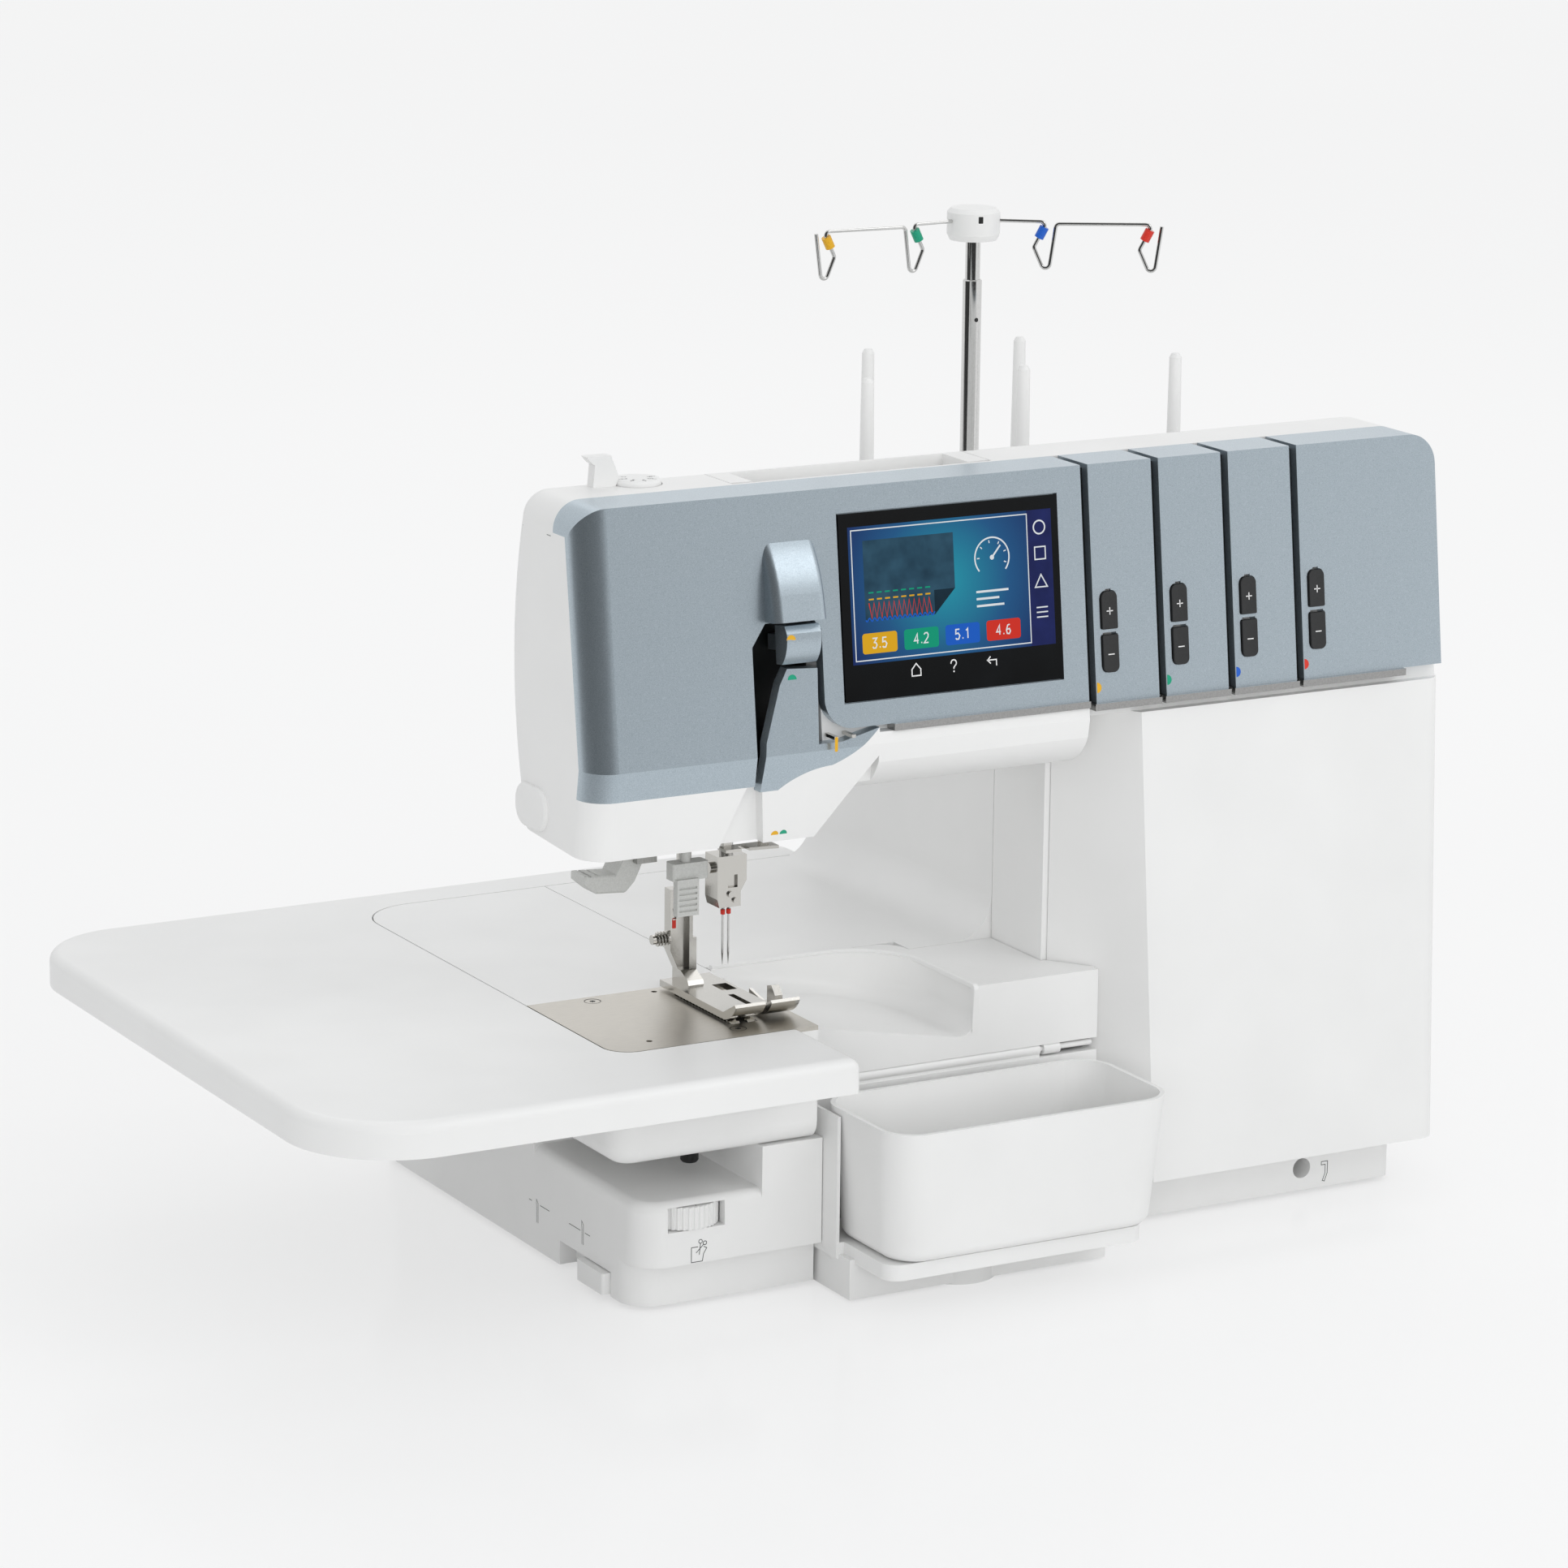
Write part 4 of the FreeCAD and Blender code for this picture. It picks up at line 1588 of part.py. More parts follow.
def make_table():
    """Extension table: U-shaped plate with a soft edge and ribbed underside."""
    low = s.bed_top - s.table_thick
    gap = s.table_gap
    left = s.arm_left - gap
    front = s.arm_front - gap
    back = s.bed_back + gap
    table = prism("extension_table", "XY", [
        (s.table_left, s.table_front), (s.table_right, s.table_front), (s.table_right, front), (left, front),
        (left, back), (s.table_tail, back), (s.table_tail, s.table_back), (s.table_left, s.table_back)],
        low, s.bed_top)
    soften_uprights(table, s.table_front_round, (s.table_left, s.table_front))
    soften_uprights(table, s.table_back_round, (s.table_left, s.table_back))
    soften_uprights(table, s.arm_front_round + gap, (left, front))
    soften_uprights(table, s.arm_back_round + gap, (left, back))
    soften_uprights(table, 3, (s.table_right, s.table_front))
    soften_uprights(table, s.arm_front_round, (s.table_tail, s.table_back))

    def outer_top(edge):
        place = edge.BoundBox
        if abs(place.ZMin - s.bed_top.value) > NEAR or abs(place.ZMax - s.bed_top.value) > NEAR:
            return False
        return place.XMax < left.value - 30 or place.YMax < front.value - 20 or place.YMin > back.value + 10

    soften(table, s.table_edge_round, outer_top)
    rib = s.table_rib
    ceiling = s.bed_top - s.table_plate
    near = s.table_left + s.table_front_round * 0.35
    steps = [s.table_front + rib, s.table_front + 118, s.table_front + 236, s.table_back - rib]
    for index in range(3):
        start = steps[index] + (rib * 3 if index == 0 else rib / 2)
        stop = steps[index + 1] - (rib * 3 if index == 2 else rib / 2)
        middle = (near + left) / 2
        for side, (west, east) in enumerate(((near, middle - rib / 2), (middle + rib / 2, left - rib))):
            pocket(table, "XY", rounded_rect(west, start, east, stop, rib), low, ceiling)
    pocket(table, "XY", rounded_rect(left + rib, s.table_front + rib, s.table_right - rib, front - rib, rib),
           low, ceiling)
    pocket(table, "XY", rounded_rect(left + rib * 9, back + rib, s.table_tail - rib * 2, s.table_back - rib, rib),
           low, ceiling)
    node(table, "extension_table")


def make_all():
    """Builds every piece."""
    make_base()
    make_lock_slider()
    make_dial_block()
    make_free_arm()
    make_needle_plate()
    make_feed_dogs()
    make_rear_casing()
    make_inlet()
    make_column_cheek()
    make_front_casing()
    make_looper_front()
    make_looper_cover()
    make_loopers()
    form = upper_form()
    zone = front_zone()
    make_upper_casing(form, zone)
    face = make_head_panels(form, zone)
    make_display()
    liners = make_lanes(face)
    make_sills()
    make_thread_slot(liners)
    plates = make_head_frame()
    make_needle_bar()
    make_thread_guides(form)
    make_presser()
    make_lifter(form, plates)
    make_threader()
    make_knives()
    make_handle(form)
    make_top_controls()
    make_stand()
    make_mast_head()
    make_drive()
    make_bin()
    make_tray()
    make_table()


def write_parts():
    """Checks every object and writes one file for each named piece."""
    doc.recompute()
    failed = [thing.Label for thing in doc.Objects if {"Invalid", "Error"} & set(thing.State)]
    if failed:
        raise RuntimeError("did not build: " + ", ".join(failed))
    os.makedirs("parts", exist_ok=True)
    for thing in nodes:
        if thing.Shape.isNull() or not thing.Shape.isValid():
            raise RuntimeError(f"{thing.Label} has no valid shape")
        thing.Shape.exportStep(f"parts/{thing.Label}.step")
    print(len(nodes), "pieces written")


make_all()
write_parts()
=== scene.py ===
import json
import math

import bpy
import numpy as np
from bpy.props import FloatProperty, FloatVectorProperty, PointerProperty
from mathutils import Matrix, Vector
from mathutils.bvhtree import BVHTree


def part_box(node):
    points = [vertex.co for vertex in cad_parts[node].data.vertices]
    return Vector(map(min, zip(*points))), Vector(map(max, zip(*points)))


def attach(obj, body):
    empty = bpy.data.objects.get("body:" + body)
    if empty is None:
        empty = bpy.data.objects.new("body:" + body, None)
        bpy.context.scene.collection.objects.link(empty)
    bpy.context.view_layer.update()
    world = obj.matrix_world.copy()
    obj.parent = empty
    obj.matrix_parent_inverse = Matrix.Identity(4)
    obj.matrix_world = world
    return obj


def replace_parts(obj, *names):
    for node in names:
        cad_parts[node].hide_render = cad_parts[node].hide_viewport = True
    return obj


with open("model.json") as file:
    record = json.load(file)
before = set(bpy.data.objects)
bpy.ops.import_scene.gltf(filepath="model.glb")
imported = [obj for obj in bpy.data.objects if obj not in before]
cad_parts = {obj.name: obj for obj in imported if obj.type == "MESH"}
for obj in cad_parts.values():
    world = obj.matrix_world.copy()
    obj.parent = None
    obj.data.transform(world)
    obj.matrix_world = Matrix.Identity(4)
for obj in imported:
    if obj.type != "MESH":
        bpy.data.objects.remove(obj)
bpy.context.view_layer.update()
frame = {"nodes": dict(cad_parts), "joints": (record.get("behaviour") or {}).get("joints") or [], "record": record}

bl_info = {
    "name": "Overlock machine looks",
    "version": (1, 0, 0),
    "blender": (4, 5, 0),
    "location": "View3D > Sidebar > Overlock",
    "description": "Finishes, prints, small fittings and studio for the overlock machine",
    "category": "Object",
}

MM = 0.001
NODES = frame["nodes"]
SLOT_OF = {part["node"]: part["material_slot"] for part in frame["record"]["subparts"]}
FINISHES = {}
THREADS = ("yellow", "green", "blue", "red")
BUTTONS = [(f"button_{sign}_{index}", sign) for sign in ("plus", "minus") for index in range(1, 5)]

RIGHTWARDS = (1, 0, 0)
FORWARDS = (0, -1, 0)
BACKWARDS = (0, 1, 0)
UPWARDS = (0, 0, 1)
# Buttons are pressed square to the leaning front, so their way gives the front's upward direction.
PRESS = next(joint["axis"] for joint in frame["joints"] if joint["name"].startswith("button"))
FRONT_UP = (0, -PRESS[2] / PRESS[1], 1)
# The skirt below the head comes forward by 6.5 mm over its 41 mm of height.
SKIRT_UP = (0, -6.5 / 41, 1)

# Points of a filled rim, steps of an arc, sides of a round section and points of a rounded corner.
RIM_POINTS = 32
ARC_STEPS = 40
ROUND_SIDES = 24
CORNER_POINTS = 9

# Noise stays mostly between these values, so patterns are spread over them.
NOISE_LOW, NOISE_HIGH = 0.3, 0.7
NOISE_RANGE = {"From Min": NOISE_LOW, "From Max": NOISE_HIGH}


def linear(hex_colour):
    """Turns an sRGB hex colour into linear red, green, blue and alpha."""
    channels = [int(hex_colour[index:index + 2], 16) / 255 for index in (1, 3, 5)]
    steps = [value / 12.92 if value <= 0.04045 else ((value + 0.055) / 1.055) ** 2.4 for value in channels]
    return steps + [1.0]


class OverlockLooks(bpy.types.PropertyGroup):
    """Colours of shell, panel and threads, sizes of the prints and strengths of screen and lamps"""

    shell_light: FloatVectorProperty(
        name="Shell light", description="Lighter tone of the white casing",
        default=linear("#F3F3F2"), size=4, min=0.0, max=1.0, subtype="COLOR")
    shell_dark: FloatVectorProperty(
        name="Shell dark", description="Darker tone of the white casing",
        default=linear("#EFEFEE"), size=4, min=0.0, max=1.0, subtype="COLOR")
    panel_light: FloatVectorProperty(
        name="Panel light", description="Bright flakes in the lacquer of the front panel",
        default=linear("#BDC9D1"), size=4, min=0.0, max=1.0, subtype="COLOR")
    panel_dark: FloatVectorProperty(
        name="Panel dark", description="Ground of the lacquer between its flakes",
        default=linear("#A9B6BF"), size=4, min=0.0, max=1.0, subtype="COLOR")
    yellow_thread: FloatVectorProperty(
        name="Yellow thread", description="Colour of the first thread's marks and sleeve",
        default=linear("#E9B11F"), size=4, min=0.0, max=1.0, subtype="COLOR")
    green_thread: FloatVectorProperty(
        name="Green thread", description="Colour of the second thread's marks and sleeve",
        default=linear("#0FA07C"), size=4, min=0.0, max=1.0, subtype="COLOR")
    blue_thread: FloatVectorProperty(
        name="Blue thread", description="Colour of the third thread's marks and sleeve",
        default=linear("#1D62CC"), size=4, min=0.0, max=1.0, subtype="COLOR")
    red_thread: FloatVectorProperty(
        name="Red thread", description="Colour of the fourth thread's marks and sleeve",
        default=linear("#DC3527"), size=4, min=0.0, max=1.0, subtype="COLOR")
    print_lift: FloatProperty(
        name="Print lift", description="Height of one printed layer above the surface that carries it",
        default=0.05 * MM, unit="LENGTH", subtype="DISTANCE")
    symbol_line: FloatProperty(
        name="Symbol line", description="Line of the symbols printed on the casing",
        default=0.35 * MM, unit="LENGTH", subtype="DISTANCE")
    screen_strength: FloatProperty(
        name="Screen", description="Glow of the display", default=0.8, min=0.0)
    surround: FloatProperty(
        name="Surround", description="Strength of the pale surroundings", default=0.8, min=0.0)
    key_power: FloatProperty(
        name="Key lamp", description="Soft lamp from the front right", default=11.0, unit="POWER")
    rim_power: FloatProperty(
        name="Rim lamp", description="Soft lamp from the back right", default=9.0, unit="POWER")
    fill_power: FloatProperty(
        name="Fill lamp", description="Low soft lamp from the front, unseen in mirrors",
        default=23.0, unit="POWER")


# Shader nodes


def grey(value):
    """A grey with alpha 1."""
    return (value, value, value, 1.0)


def add(tree, kind, inputs=None, stops=(), **settings):
    """Adds one node; an input takes a value, a node's first output or a chosen output, a ramp its stops."""
    node = tree.nodes.new(kind)
    for name, value in settings.items():
        setattr(node, name, value)
    for name, source in (inputs or {}).items():
        if isinstance(source, bpy.types.Node):
            source = source.outputs[0]
        if isinstance(source, bpy.types.NodeSocket):
            tree.links.new(source, node.inputs[name])
        else:
            node.inputs[name].default_value = source
    if stops:
        elements = node.color_ramp.elements
        elements.remove(elements[1])
        elements[0].position, elements[0].color = stops[0]
        for place, colour in stops[1:]:
            elements.new(place).color = colour
    return node


def new_material(name):
    """An empty node material and its tree."""
    material = bpy.data.materials.new(name)
    material.use_nodes = True
    material.node_tree.nodes.clear()
    return material, material.node_tree


def grain(tree, size_mm, detail=3.0, stretch=(1, 1, 1)):
    """Noise on Object coordinates whose cells are about size_mm across, stretched along the axes."""
    place = add(tree, "ShaderNodeTexCoord").outputs["Object"]
    spread = add(tree, "ShaderNodeMapping", {"Vector": place, "Scale": stretch})
    return add(tree, "ShaderNodeTexNoise", {"Vector": spread, "Scale": 1 / (size_mm * MM), "Detail": detail})


# Finishes


def moulded_abs(name, light, dark, rough):
    """White ABS from a spark-eroded tool: even colour, faint orange peel and soft wide highlights."""
    material, tree = new_material(name)
    peel = grain(tree, size_mm=1.6, detail=2.0)
    cloud = grain(tree, size_mm=60, detail=2.0)
    tone = add(tree, "ShaderNodeValToRGB", {"Fac": cloud}, [(NOISE_LOW, dark), (NOISE_HIGH, light)])
    gloss = add(tree, "ShaderNodeMapRange", {
        "Value": peel, **NOISE_RANGE, "To Min": rough - 0.05, "To Max": rough + 0.07})
    relief = add(tree, "ShaderNodeBump", {"Height": peel, "Strength": 0.2, "Distance": 0.012 * MM})
    shader = add(tree, "ShaderNodeBsdfPrincipled", {
        "Base Color": tone, "Roughness": gloss, "Normal": relief, "IOR": 1.5})
    add(tree, "ShaderNodeOutputMaterial", {"Surface": shader})
    return material


def metallic_lacquer(name, light, dark):
    """Sprayed metallic lacquer: fine flakes under a clear coat make it brighten towards the light."""
    material, tree = new_material(name)
    # Flakes of about 0.05 mm are drawn several times as wide, so that a render can still show them.
    flake = grain(tree, size_mm=0.35, detail=1.0)
    tone = add(tree, "ShaderNodeValToRGB", {"Fac": flake}, [(0.35, dark), (0.65, light)])
    spray = grain(tree, size_mm=0.7, detail=2.0)
    gloss = add(tree, "ShaderNodeMapRange", {"Value": spray, **NOISE_RANGE, "To Min": 0.3, "To Max": 0.4})
    relief = add(tree, "ShaderNodeBump", {"Height": flake, "Strength": 0.12, "Distance": 0.01 * MM})
    shader = add(tree, "ShaderNodeBsdfPrincipled", {
        "Base Color": tone, "Roughness": gloss, "Normal": relief, "Metallic": 0.85, "Coat Weight": 0.2,
        "Coat Roughness": 0.12})
    add(tree, "ShaderNodeOutputMaterial", {"Surface": shader})
    return material


def bare_metal(name, light, dark, smooth, rough, size_mm, stretch=(1, 1, 1), depth_mm=0.01):
    """Bare metal: tone, roughness and fine relief come from one grain, so scratches catch the light."""
    material, tree = new_material(name)
    lay = grain(tree, size_mm, detail=4.0, stretch=stretch)
    tone = add(tree, "ShaderNodeValToRGB", {"Fac": lay}, [(NOISE_LOW, dark), (NOISE_HIGH, light)])
    gloss = add(tree, "ShaderNodeMapRange", {"Value": lay, **NOISE_RANGE, "To Min": smooth, "To Max": rough})
    relief = add(tree, "ShaderNodeBump", {"Height": lay, "Strength": 0.3, "Distance": depth_mm * MM})
    shader = add(tree, "ShaderNodeBsdfPrincipled", {
        "Base Color": tone, "Roughness": gloss, "Normal": relief, "Metallic": 1.0})
    add(tree, "ShaderNodeOutputMaterial", {"Surface": shader})
    return material


def etched_plastic(name, light, dark, rough, size_mm=0.8):
    """Fine-etched plastic or rubber: dull sheen with a small even grain."""
    material, tree = new_material(name)
    etch = grain(tree, size_mm)
    tone = add(tree, "ShaderNodeValToRGB", {"Fac": etch}, [(NOISE_LOW, dark), (NOISE_HIGH, light)])
    gloss = add(tree, "ShaderNodeMapRange", {
        "Value": etch, **NOISE_RANGE, "To Min": rough - 0.06, "To Max": rough + 0.06})
    relief = add(tree, "ShaderNodeBump", {"Height": etch, "Strength": 0.4, "Distance": 0.04 * MM})
    shader = add(tree, "ShaderNodeBsdfPrincipled", {
        "Base Color": tone, "Roughness": gloss, "Normal": relief, "IOR": 1.5})
    add(tree, "ShaderNodeOutputMaterial", {"Surface": shader})
    return material


def cover_glass():
    """Black-backed glass coated against glare: deep black, sharp weak reflections and a little smear."""
    material, tree = new_material("black_backed_cover_glass")
    smear = grain(tree, size_mm=18)
    tone = add(tree, "ShaderNodeValToRGB", {"Fac": smear}, [
        (NOISE_LOW, linear("#0A0B0C")), (NOISE_HIGH, linear("#101214"))])
    gloss = add(tree, "ShaderNodeMapRange", {"Value": smear, **NOISE_RANGE, "To Min": 0.07, "To Max": 0.14})
    shader = add(tree, "ShaderNodeBsdfPrincipled", {"Base Color": tone, "Roughness": gloss, "IOR": 1.22})
    add(tree, "ShaderNodeOutputMaterial", {"Surface": shader})
    return material


def thread_nylon(colours):
    """Moulded nylon sleeves: one material whose colour steps along X, from sleeve to sleeve."""
    material, tree = new_material("moulded_nylon_thread_colours")
    place = add(tree, "ShaderNodeTexCoord").outputs["Object"]
    along = add(tree, "ShaderNodeSeparateXYZ", {"Vector": place}).outputs["X"]
    low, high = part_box("thread_beads")
    share = add(tree, "ShaderNodeMapRange", {"Value": along, "From Min": low.x, "From Max": high.x})
    # Each colour starts between two sleeves.
    steps = add(tree, "ShaderNodeValToRGB", {"Fac": share}, list(zip((0.0, 0.2, 0.5, 0.8), colours)))
    steps.color_ramp.interpolation = "CONSTANT"
    etch = grain(tree, size_mm=0.6, detail=2.0)
    gloss = add(tree, "ShaderNodeMapRange", {"Value": etch, **NOISE_RANGE, "To Min": 0.28, "To Max": 0.4})
    relief = add(tree, "ShaderNodeBump", {"Height": etch, "Strength": 0.2, "Distance": 0.005 * MM})
    shader = add(tree, "ShaderNodeBsdfPrincipled", {
        "Base Color": steps, "Roughness": gloss, "Normal": relief})
    add(tree, "ShaderNodeOutputMaterial", {"Surface": shader})
    return material


# The display behind its glow: black, glossy and coated against glare.
UNLIT_DISPLAY = {"Base Color": linear("#050608"), "Roughness": 0.12, "IOR": 1.2}


def lit_screen(name, light, dark, strength):
    """Lit liquid-crystal picture: glows by itself, a little uneven like a real backlight."""
    material, tree = new_material(name)
    backlight = grain(tree, size_mm=9, detail=2.0)
    glow = add(tree, "ShaderNodeValToRGB", {"Fac": backlight}, [(0.25, dark), (0.75, light)])
    shader = add(tree, "ShaderNodeBsdfPrincipled", {
        "Emission Color": glow, "Emission Strength": strength, **UNLIT_DISPLAY})
    add(tree, "ShaderNodeOutputMaterial", {"Surface": shader})
    return material


def lit_background(strength):
    """Lit background of the display: teal in the middle, falling off to navy at the edges."""
    material, tree = new_material("screen_background")
    place = add(tree, "ShaderNodeTexCoord").outputs["Object"]
    low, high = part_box("display_glass")
    brightest = (low + high) / 2 + Vector((-4, 0, 8)) * MM
    away = add(tree, "ShaderNodeVectorMath", {0: place, 1: brightest}, operation="DISTANCE").outputs["Value"]
    share = add(tree, "ShaderNodeMapRange", {"Value": away, "From Max": 62 * MM})
    glow = add(tree, "ShaderNodeValToRGB", {"Fac": share}, [
        (0.0, linear("#279FB4")), (0.55, linear("#235C8E")), (1.0, linear("#1B2460"))])
    shader = add(tree, "ShaderNodeBsdfPrincipled", {
        "Emission Color": glow, "Emission Strength": strength, **UNLIT_DISPLAY})
    add(tree, "ShaderNodeOutputMaterial", {"Surface": shader})
    return material


def printed_ink(name, light, dark, rough=0.5):
    """Pad-printed ink: thin, slightly uneven in cover and duller than the plastic below it; the same shader paints
    the shade of the side seam.
    """
    material, tree = new_material(name)
    cover = grain(tree, size_mm=0.7, detail=2.0)
    tone = add(tree, "ShaderNodeValToRGB", {"Fac": cover}, [(NOISE_LOW, dark), (NOISE_HIGH, light)])
    gloss = add(tree, "ShaderNodeMapRange", {
        "Value": cover, **NOISE_RANGE, "To Min": rough - 0.05, "To Max": rough + 0.05})
    shader = add(tree, "ShaderNodeBsdfPrincipled", {"Base Color": tone, "Roughness": gloss})
    add(tree, "ShaderNodeOutputMaterial", {"Surface": shader})
    return material


def shell_finishes(looks):
    """Finishes of the plastics, the lacquer, the rubber and the glass, and the dark colour of painted shade in
    recesses.
    """
    return {
        # Moulded white throughout: highlights spread softly and edges show by shade alone.
        "white_shell": moulded_abs("white_abs_moulded", looks.shell_light, looks.shell_dark, rough=0.36),
        "white_bin": moulded_abs("white_abs_moulded_bin", looks.shell_light, looks.shell_dark, rough=0.36),
        # Lacquered front: brightens where it faces the lamps and darkens round its folds.
        "blue_panel": metallic_lacquer("blue_grey_metallic_lacquer", looks.panel_light, looks.panel_dark),
        "black_glass": cover_glass(),
        # Etched plastics and rubber: dull, so that they read as dark gaps and soft keys.
        "dark_plastic": etched_plastic("black_abs_etched", linear("#17191A"), linear("#0F1111"), rough=0.42),
        "button_black": etched_plastic(
            "soft_touch_black_keys", linear("#2A2B2C"), linear("#212223"), rough=0.46),
        "grey_plastic": etched_plastic(
            "light_grey_abs_etched", linear("#CFD0CD"), linear("#C2C3C0"), rough=0.45),
        "foot_rubber": etched_plastic(
            "black_nitrile_rubber", linear("#1E1E1E"), linear("#151515"), rough=0.75),
        "inlet_plastic": etched_plastic("black_pbt_socket", linear("#161616"), linear("#0E0E0E"), rough=0.5),
        # Painted shade: dark patches and lines for the screw sockets, the grooves round the screws and the mast's
        # catch and notch; the stud below the free arm also wears this dark colour.
        "recess": etched_plastic("dark_recess", linear("#2A2B2B"), linear("#1C1D1D"), rough=0.6),
        "bead_plastic": thread_nylon([getattr(looks, name + "_thread") for name in THREADS]),
    }


def metal_finishes():
    """Finishes of the bare and plated metal."""
    return {
        # Ground lines along X draw reflections out across them.
        "plate_steel": bare_metal(
            "satin_ground_steel", linear("#CFCBC3"), linear("#BDB9B1"), smooth=0.28, rough=0.4,
            size_mm=0.4, stretch=(0.06, 1, 1), depth_mm=0.004),
        # Nickel is a little warm and keeps its reflections nearly sharp.
        "sewing_steel": bare_metal(
            "nickel_plated_steel", linear("#D3D1CC"), linear("#C4C2BD"), smooth=0.16, rough=0.26,
            size_mm=0.4, depth_mm=0.002),
        # Chrome mirrors the room: white and black streaks side by side.
        "bright_chrome": bare_metal(
            "bright_chrome_on_steel", linear("#D8D8D7"), linear("#CFCFCE"), smooth=0.05, rough=0.1,
            size_mm=1.0, depth_mm=0.0006),
        # Darker copy of the chrome for the sills: painted shade in the base colour.
        "painted_shade_chrome": bare_metal(
            "dark_chrome_on_abs", linear("#A6A6A5"), linear("#979796"), smooth=0.1, rough=0.18,
            size_mm=1.0, depth_mm=0.0006),
        # A cast skin scatters the light and looks flat grey.
        "cast_alloy": bare_metal(
            "cast_light_alloy", linear("#BFBFBC"), linear("#A6A6A3"), smooth=0.38, rough=0.55,
            size_mm=0.9, depth_mm=0.05),
    }


def print_finishes(looks):
    """Inks of the prints, the painted shade of the side seam, and colours of the lit picture."""
    glow = looks.screen_strength
    finishes = {
        "key_print": printed_ink("light_key_print", linear("#F2F2F2"), linear("#E4E4E4")),
        "grey_print": printed_ink("dark_symbol_print", linear("#4A4C4D"), linear("#3E4041")),
        # Painted shade: the seam's grey line stands for the dark gap between side cover and casing.
        "seam": printed_ink("seam_shadow", linear("#8E9091"), linear("#7B7D7E"), rough=0.7),
        "screen_back": lit_background(glow),
        "screen_band": lit_screen("screen_side_band", linear("#222B66"), linear("#1A2152"), glow),
        "screen_cloth": lit_screen("screen_cloth", linear("#33596F"), linear("#1E3D50"), glow),
        "screen_fold": lit_screen("screen_fold", linear("#15303F"), linear("#0E2330"), glow),
        "screen_white": lit_screen("screen_white", linear("#F4F8FA"), linear("#E6ECF0"), glow),
    }
    for name in THREADS:
        colour = getattr(looks, name + "_thread")
        finishes["print_" + name] = printed_ink("print_" + name, colour, colour, rough=0.4)
        finishes["screen_" + name] = lit_screen("screen_" + name, colour, colour, glow)
    return finishes


# Surfaces


def box_of(node):
    """Lower and upper corner of a CAD node's box, in millimetres."""
    return [np.array(corner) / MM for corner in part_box(node)]


def mesh_of(node):
    """World places of a CAD node's points, and the corners of its triangles."""
    mesh = NODES[node].data
    points = np.empty(len(mesh.vertices) * 3, dtype=np.float32)
    mesh.vertices.foreach_get("co", points)
    corners = np.empty(len(mesh.loops), dtype=np.int32)
    mesh.loops.foreach_get("vertex_index", corners)
    return points.reshape(-1, 3).astype(float), corners.reshape(-1, 3)


def whole_turn(count):
    """Angles of points spread evenly round a full turn."""
    return np.linspace(0, 2 * np.pi, count, endpoint=False)


def on_circle(angle):
    """Points of the unit circle: cosine and sine of each angle."""
    return np.stack([np.cos(angle), np.sin(angle)], axis=-1)


def moved(path, x, y):
    """A path moved to a place."""
    return np.asarray(path, dtype=float) + (x, y)


def grid_faces(rows, columns, wrap=False):
    """Quads between neighbouring points of a grid; with wrap, the last column joins the first."""
    steps = columns if wrap else columns - 1
    row, column = np.meshgrid(np.arange(rows - 1), np.arange(steps), indexing="ij")
    right = (column + 1) % columns
    this, following = row * columns, (row + 1) * columns
    corners = (this + column, this + right, following + right, following + column)
    return np.stack(corners, axis=-1).reshape(-1, 4)


def put(name, points, faces, finish, body, smooth=False):
    """Makes a mesh, gives it its finish and lets it ride on a body."""
    mesh = bpy.data.meshes.new(name)
    mesh.from_pydata(points.tolist(), [], faces)
    mesh.polygons.foreach_set("use_smooth", np.full(len(mesh.polygons), smooth))
    mesh.update()
    mesh.materials.append(FINISHES[finish])
    piece = bpy.data.objects.new(name, mesh)
    bpy.context.scene.collection.objects.link(piece)
    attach(piece, body)
    return piece


def turned(name, profile, centre, finish, body):
    """Turned form: each profile point (radius, height) in mm runs round the upright axis at centre."""
    radius, height = np.asarray(profile, dtype=float).T * MM
    flat = np.array(centre) * MM + radius[:, None, None] * on_circle(whole_turn(ROUND_SIDES))
    upright = np.repeat(height[:, None, None], ROUND_SIDES, axis=1)
    points = np.concatenate([flat, upright], axis=-1).reshape(-1, 3)
    return put(name, points, grid_faces(len(radius), ROUND_SIDES, True).tolist(), finish, body, True)


class Sheet:
    """View of one CAD node, in the world's millimetres, from which prints are laid down on its surface."""

    # Height above the node at which points start to fall.
    clearance = 5 * MM

    def __init__(self, node, right, up):
        self.right = np.array(right, dtype=float)
        self.up = np.array(up, dtype=float)
        out = np.cross(self.right, self.up)
        self.out = out / np.linalg.norm(out)
        points, triangles = mesh_of(node)
        self.tree = BVHTree.FromPolygons(points.tolist(), triangles.tolist())
        # Flat coordinates count from the world's origin, along right and along the main axis of up.
        start = self.out * ((points @ self.out).max() + self.clearance)
        main = np.abs(self.up).argmax()
        start = start - self.up * start[main] / self.up[main]
        self.start = start - self.right * (start @ self.right)

    def offset(self, flat):
        """World offsets of flat points: the first coordinate along right, the second along up."""
        flat = np.asarray(flat, dtype=float).reshape(-1, 2) * MM
        return flat[:, :1] * self.right + flat[:, 1:] * self.up

    def place(self, flat, lift):
        """World places of flat points: each falls onto the node's surface and is lifted along its normal."""
        above = self.start + self.offset(flat)
        # The tree answers one ray at a time.
        hits = [self.tree.ray_cast(Vector(point), Vector(-self.out)) for point in above]
        depth = np.array([math.nan if hit[3] is None else hit[3] for hit in hits])
        normal = np.array([self.out if hit[1] is None else hit[1] for hit in hits])
        # A point beyond the edge takes the depth of its neighbours.
        depth = np.where(np.isnan(depth), np.nanmedian(depth), depth)
        return above - depth[:, None] * self.out + lift * normal


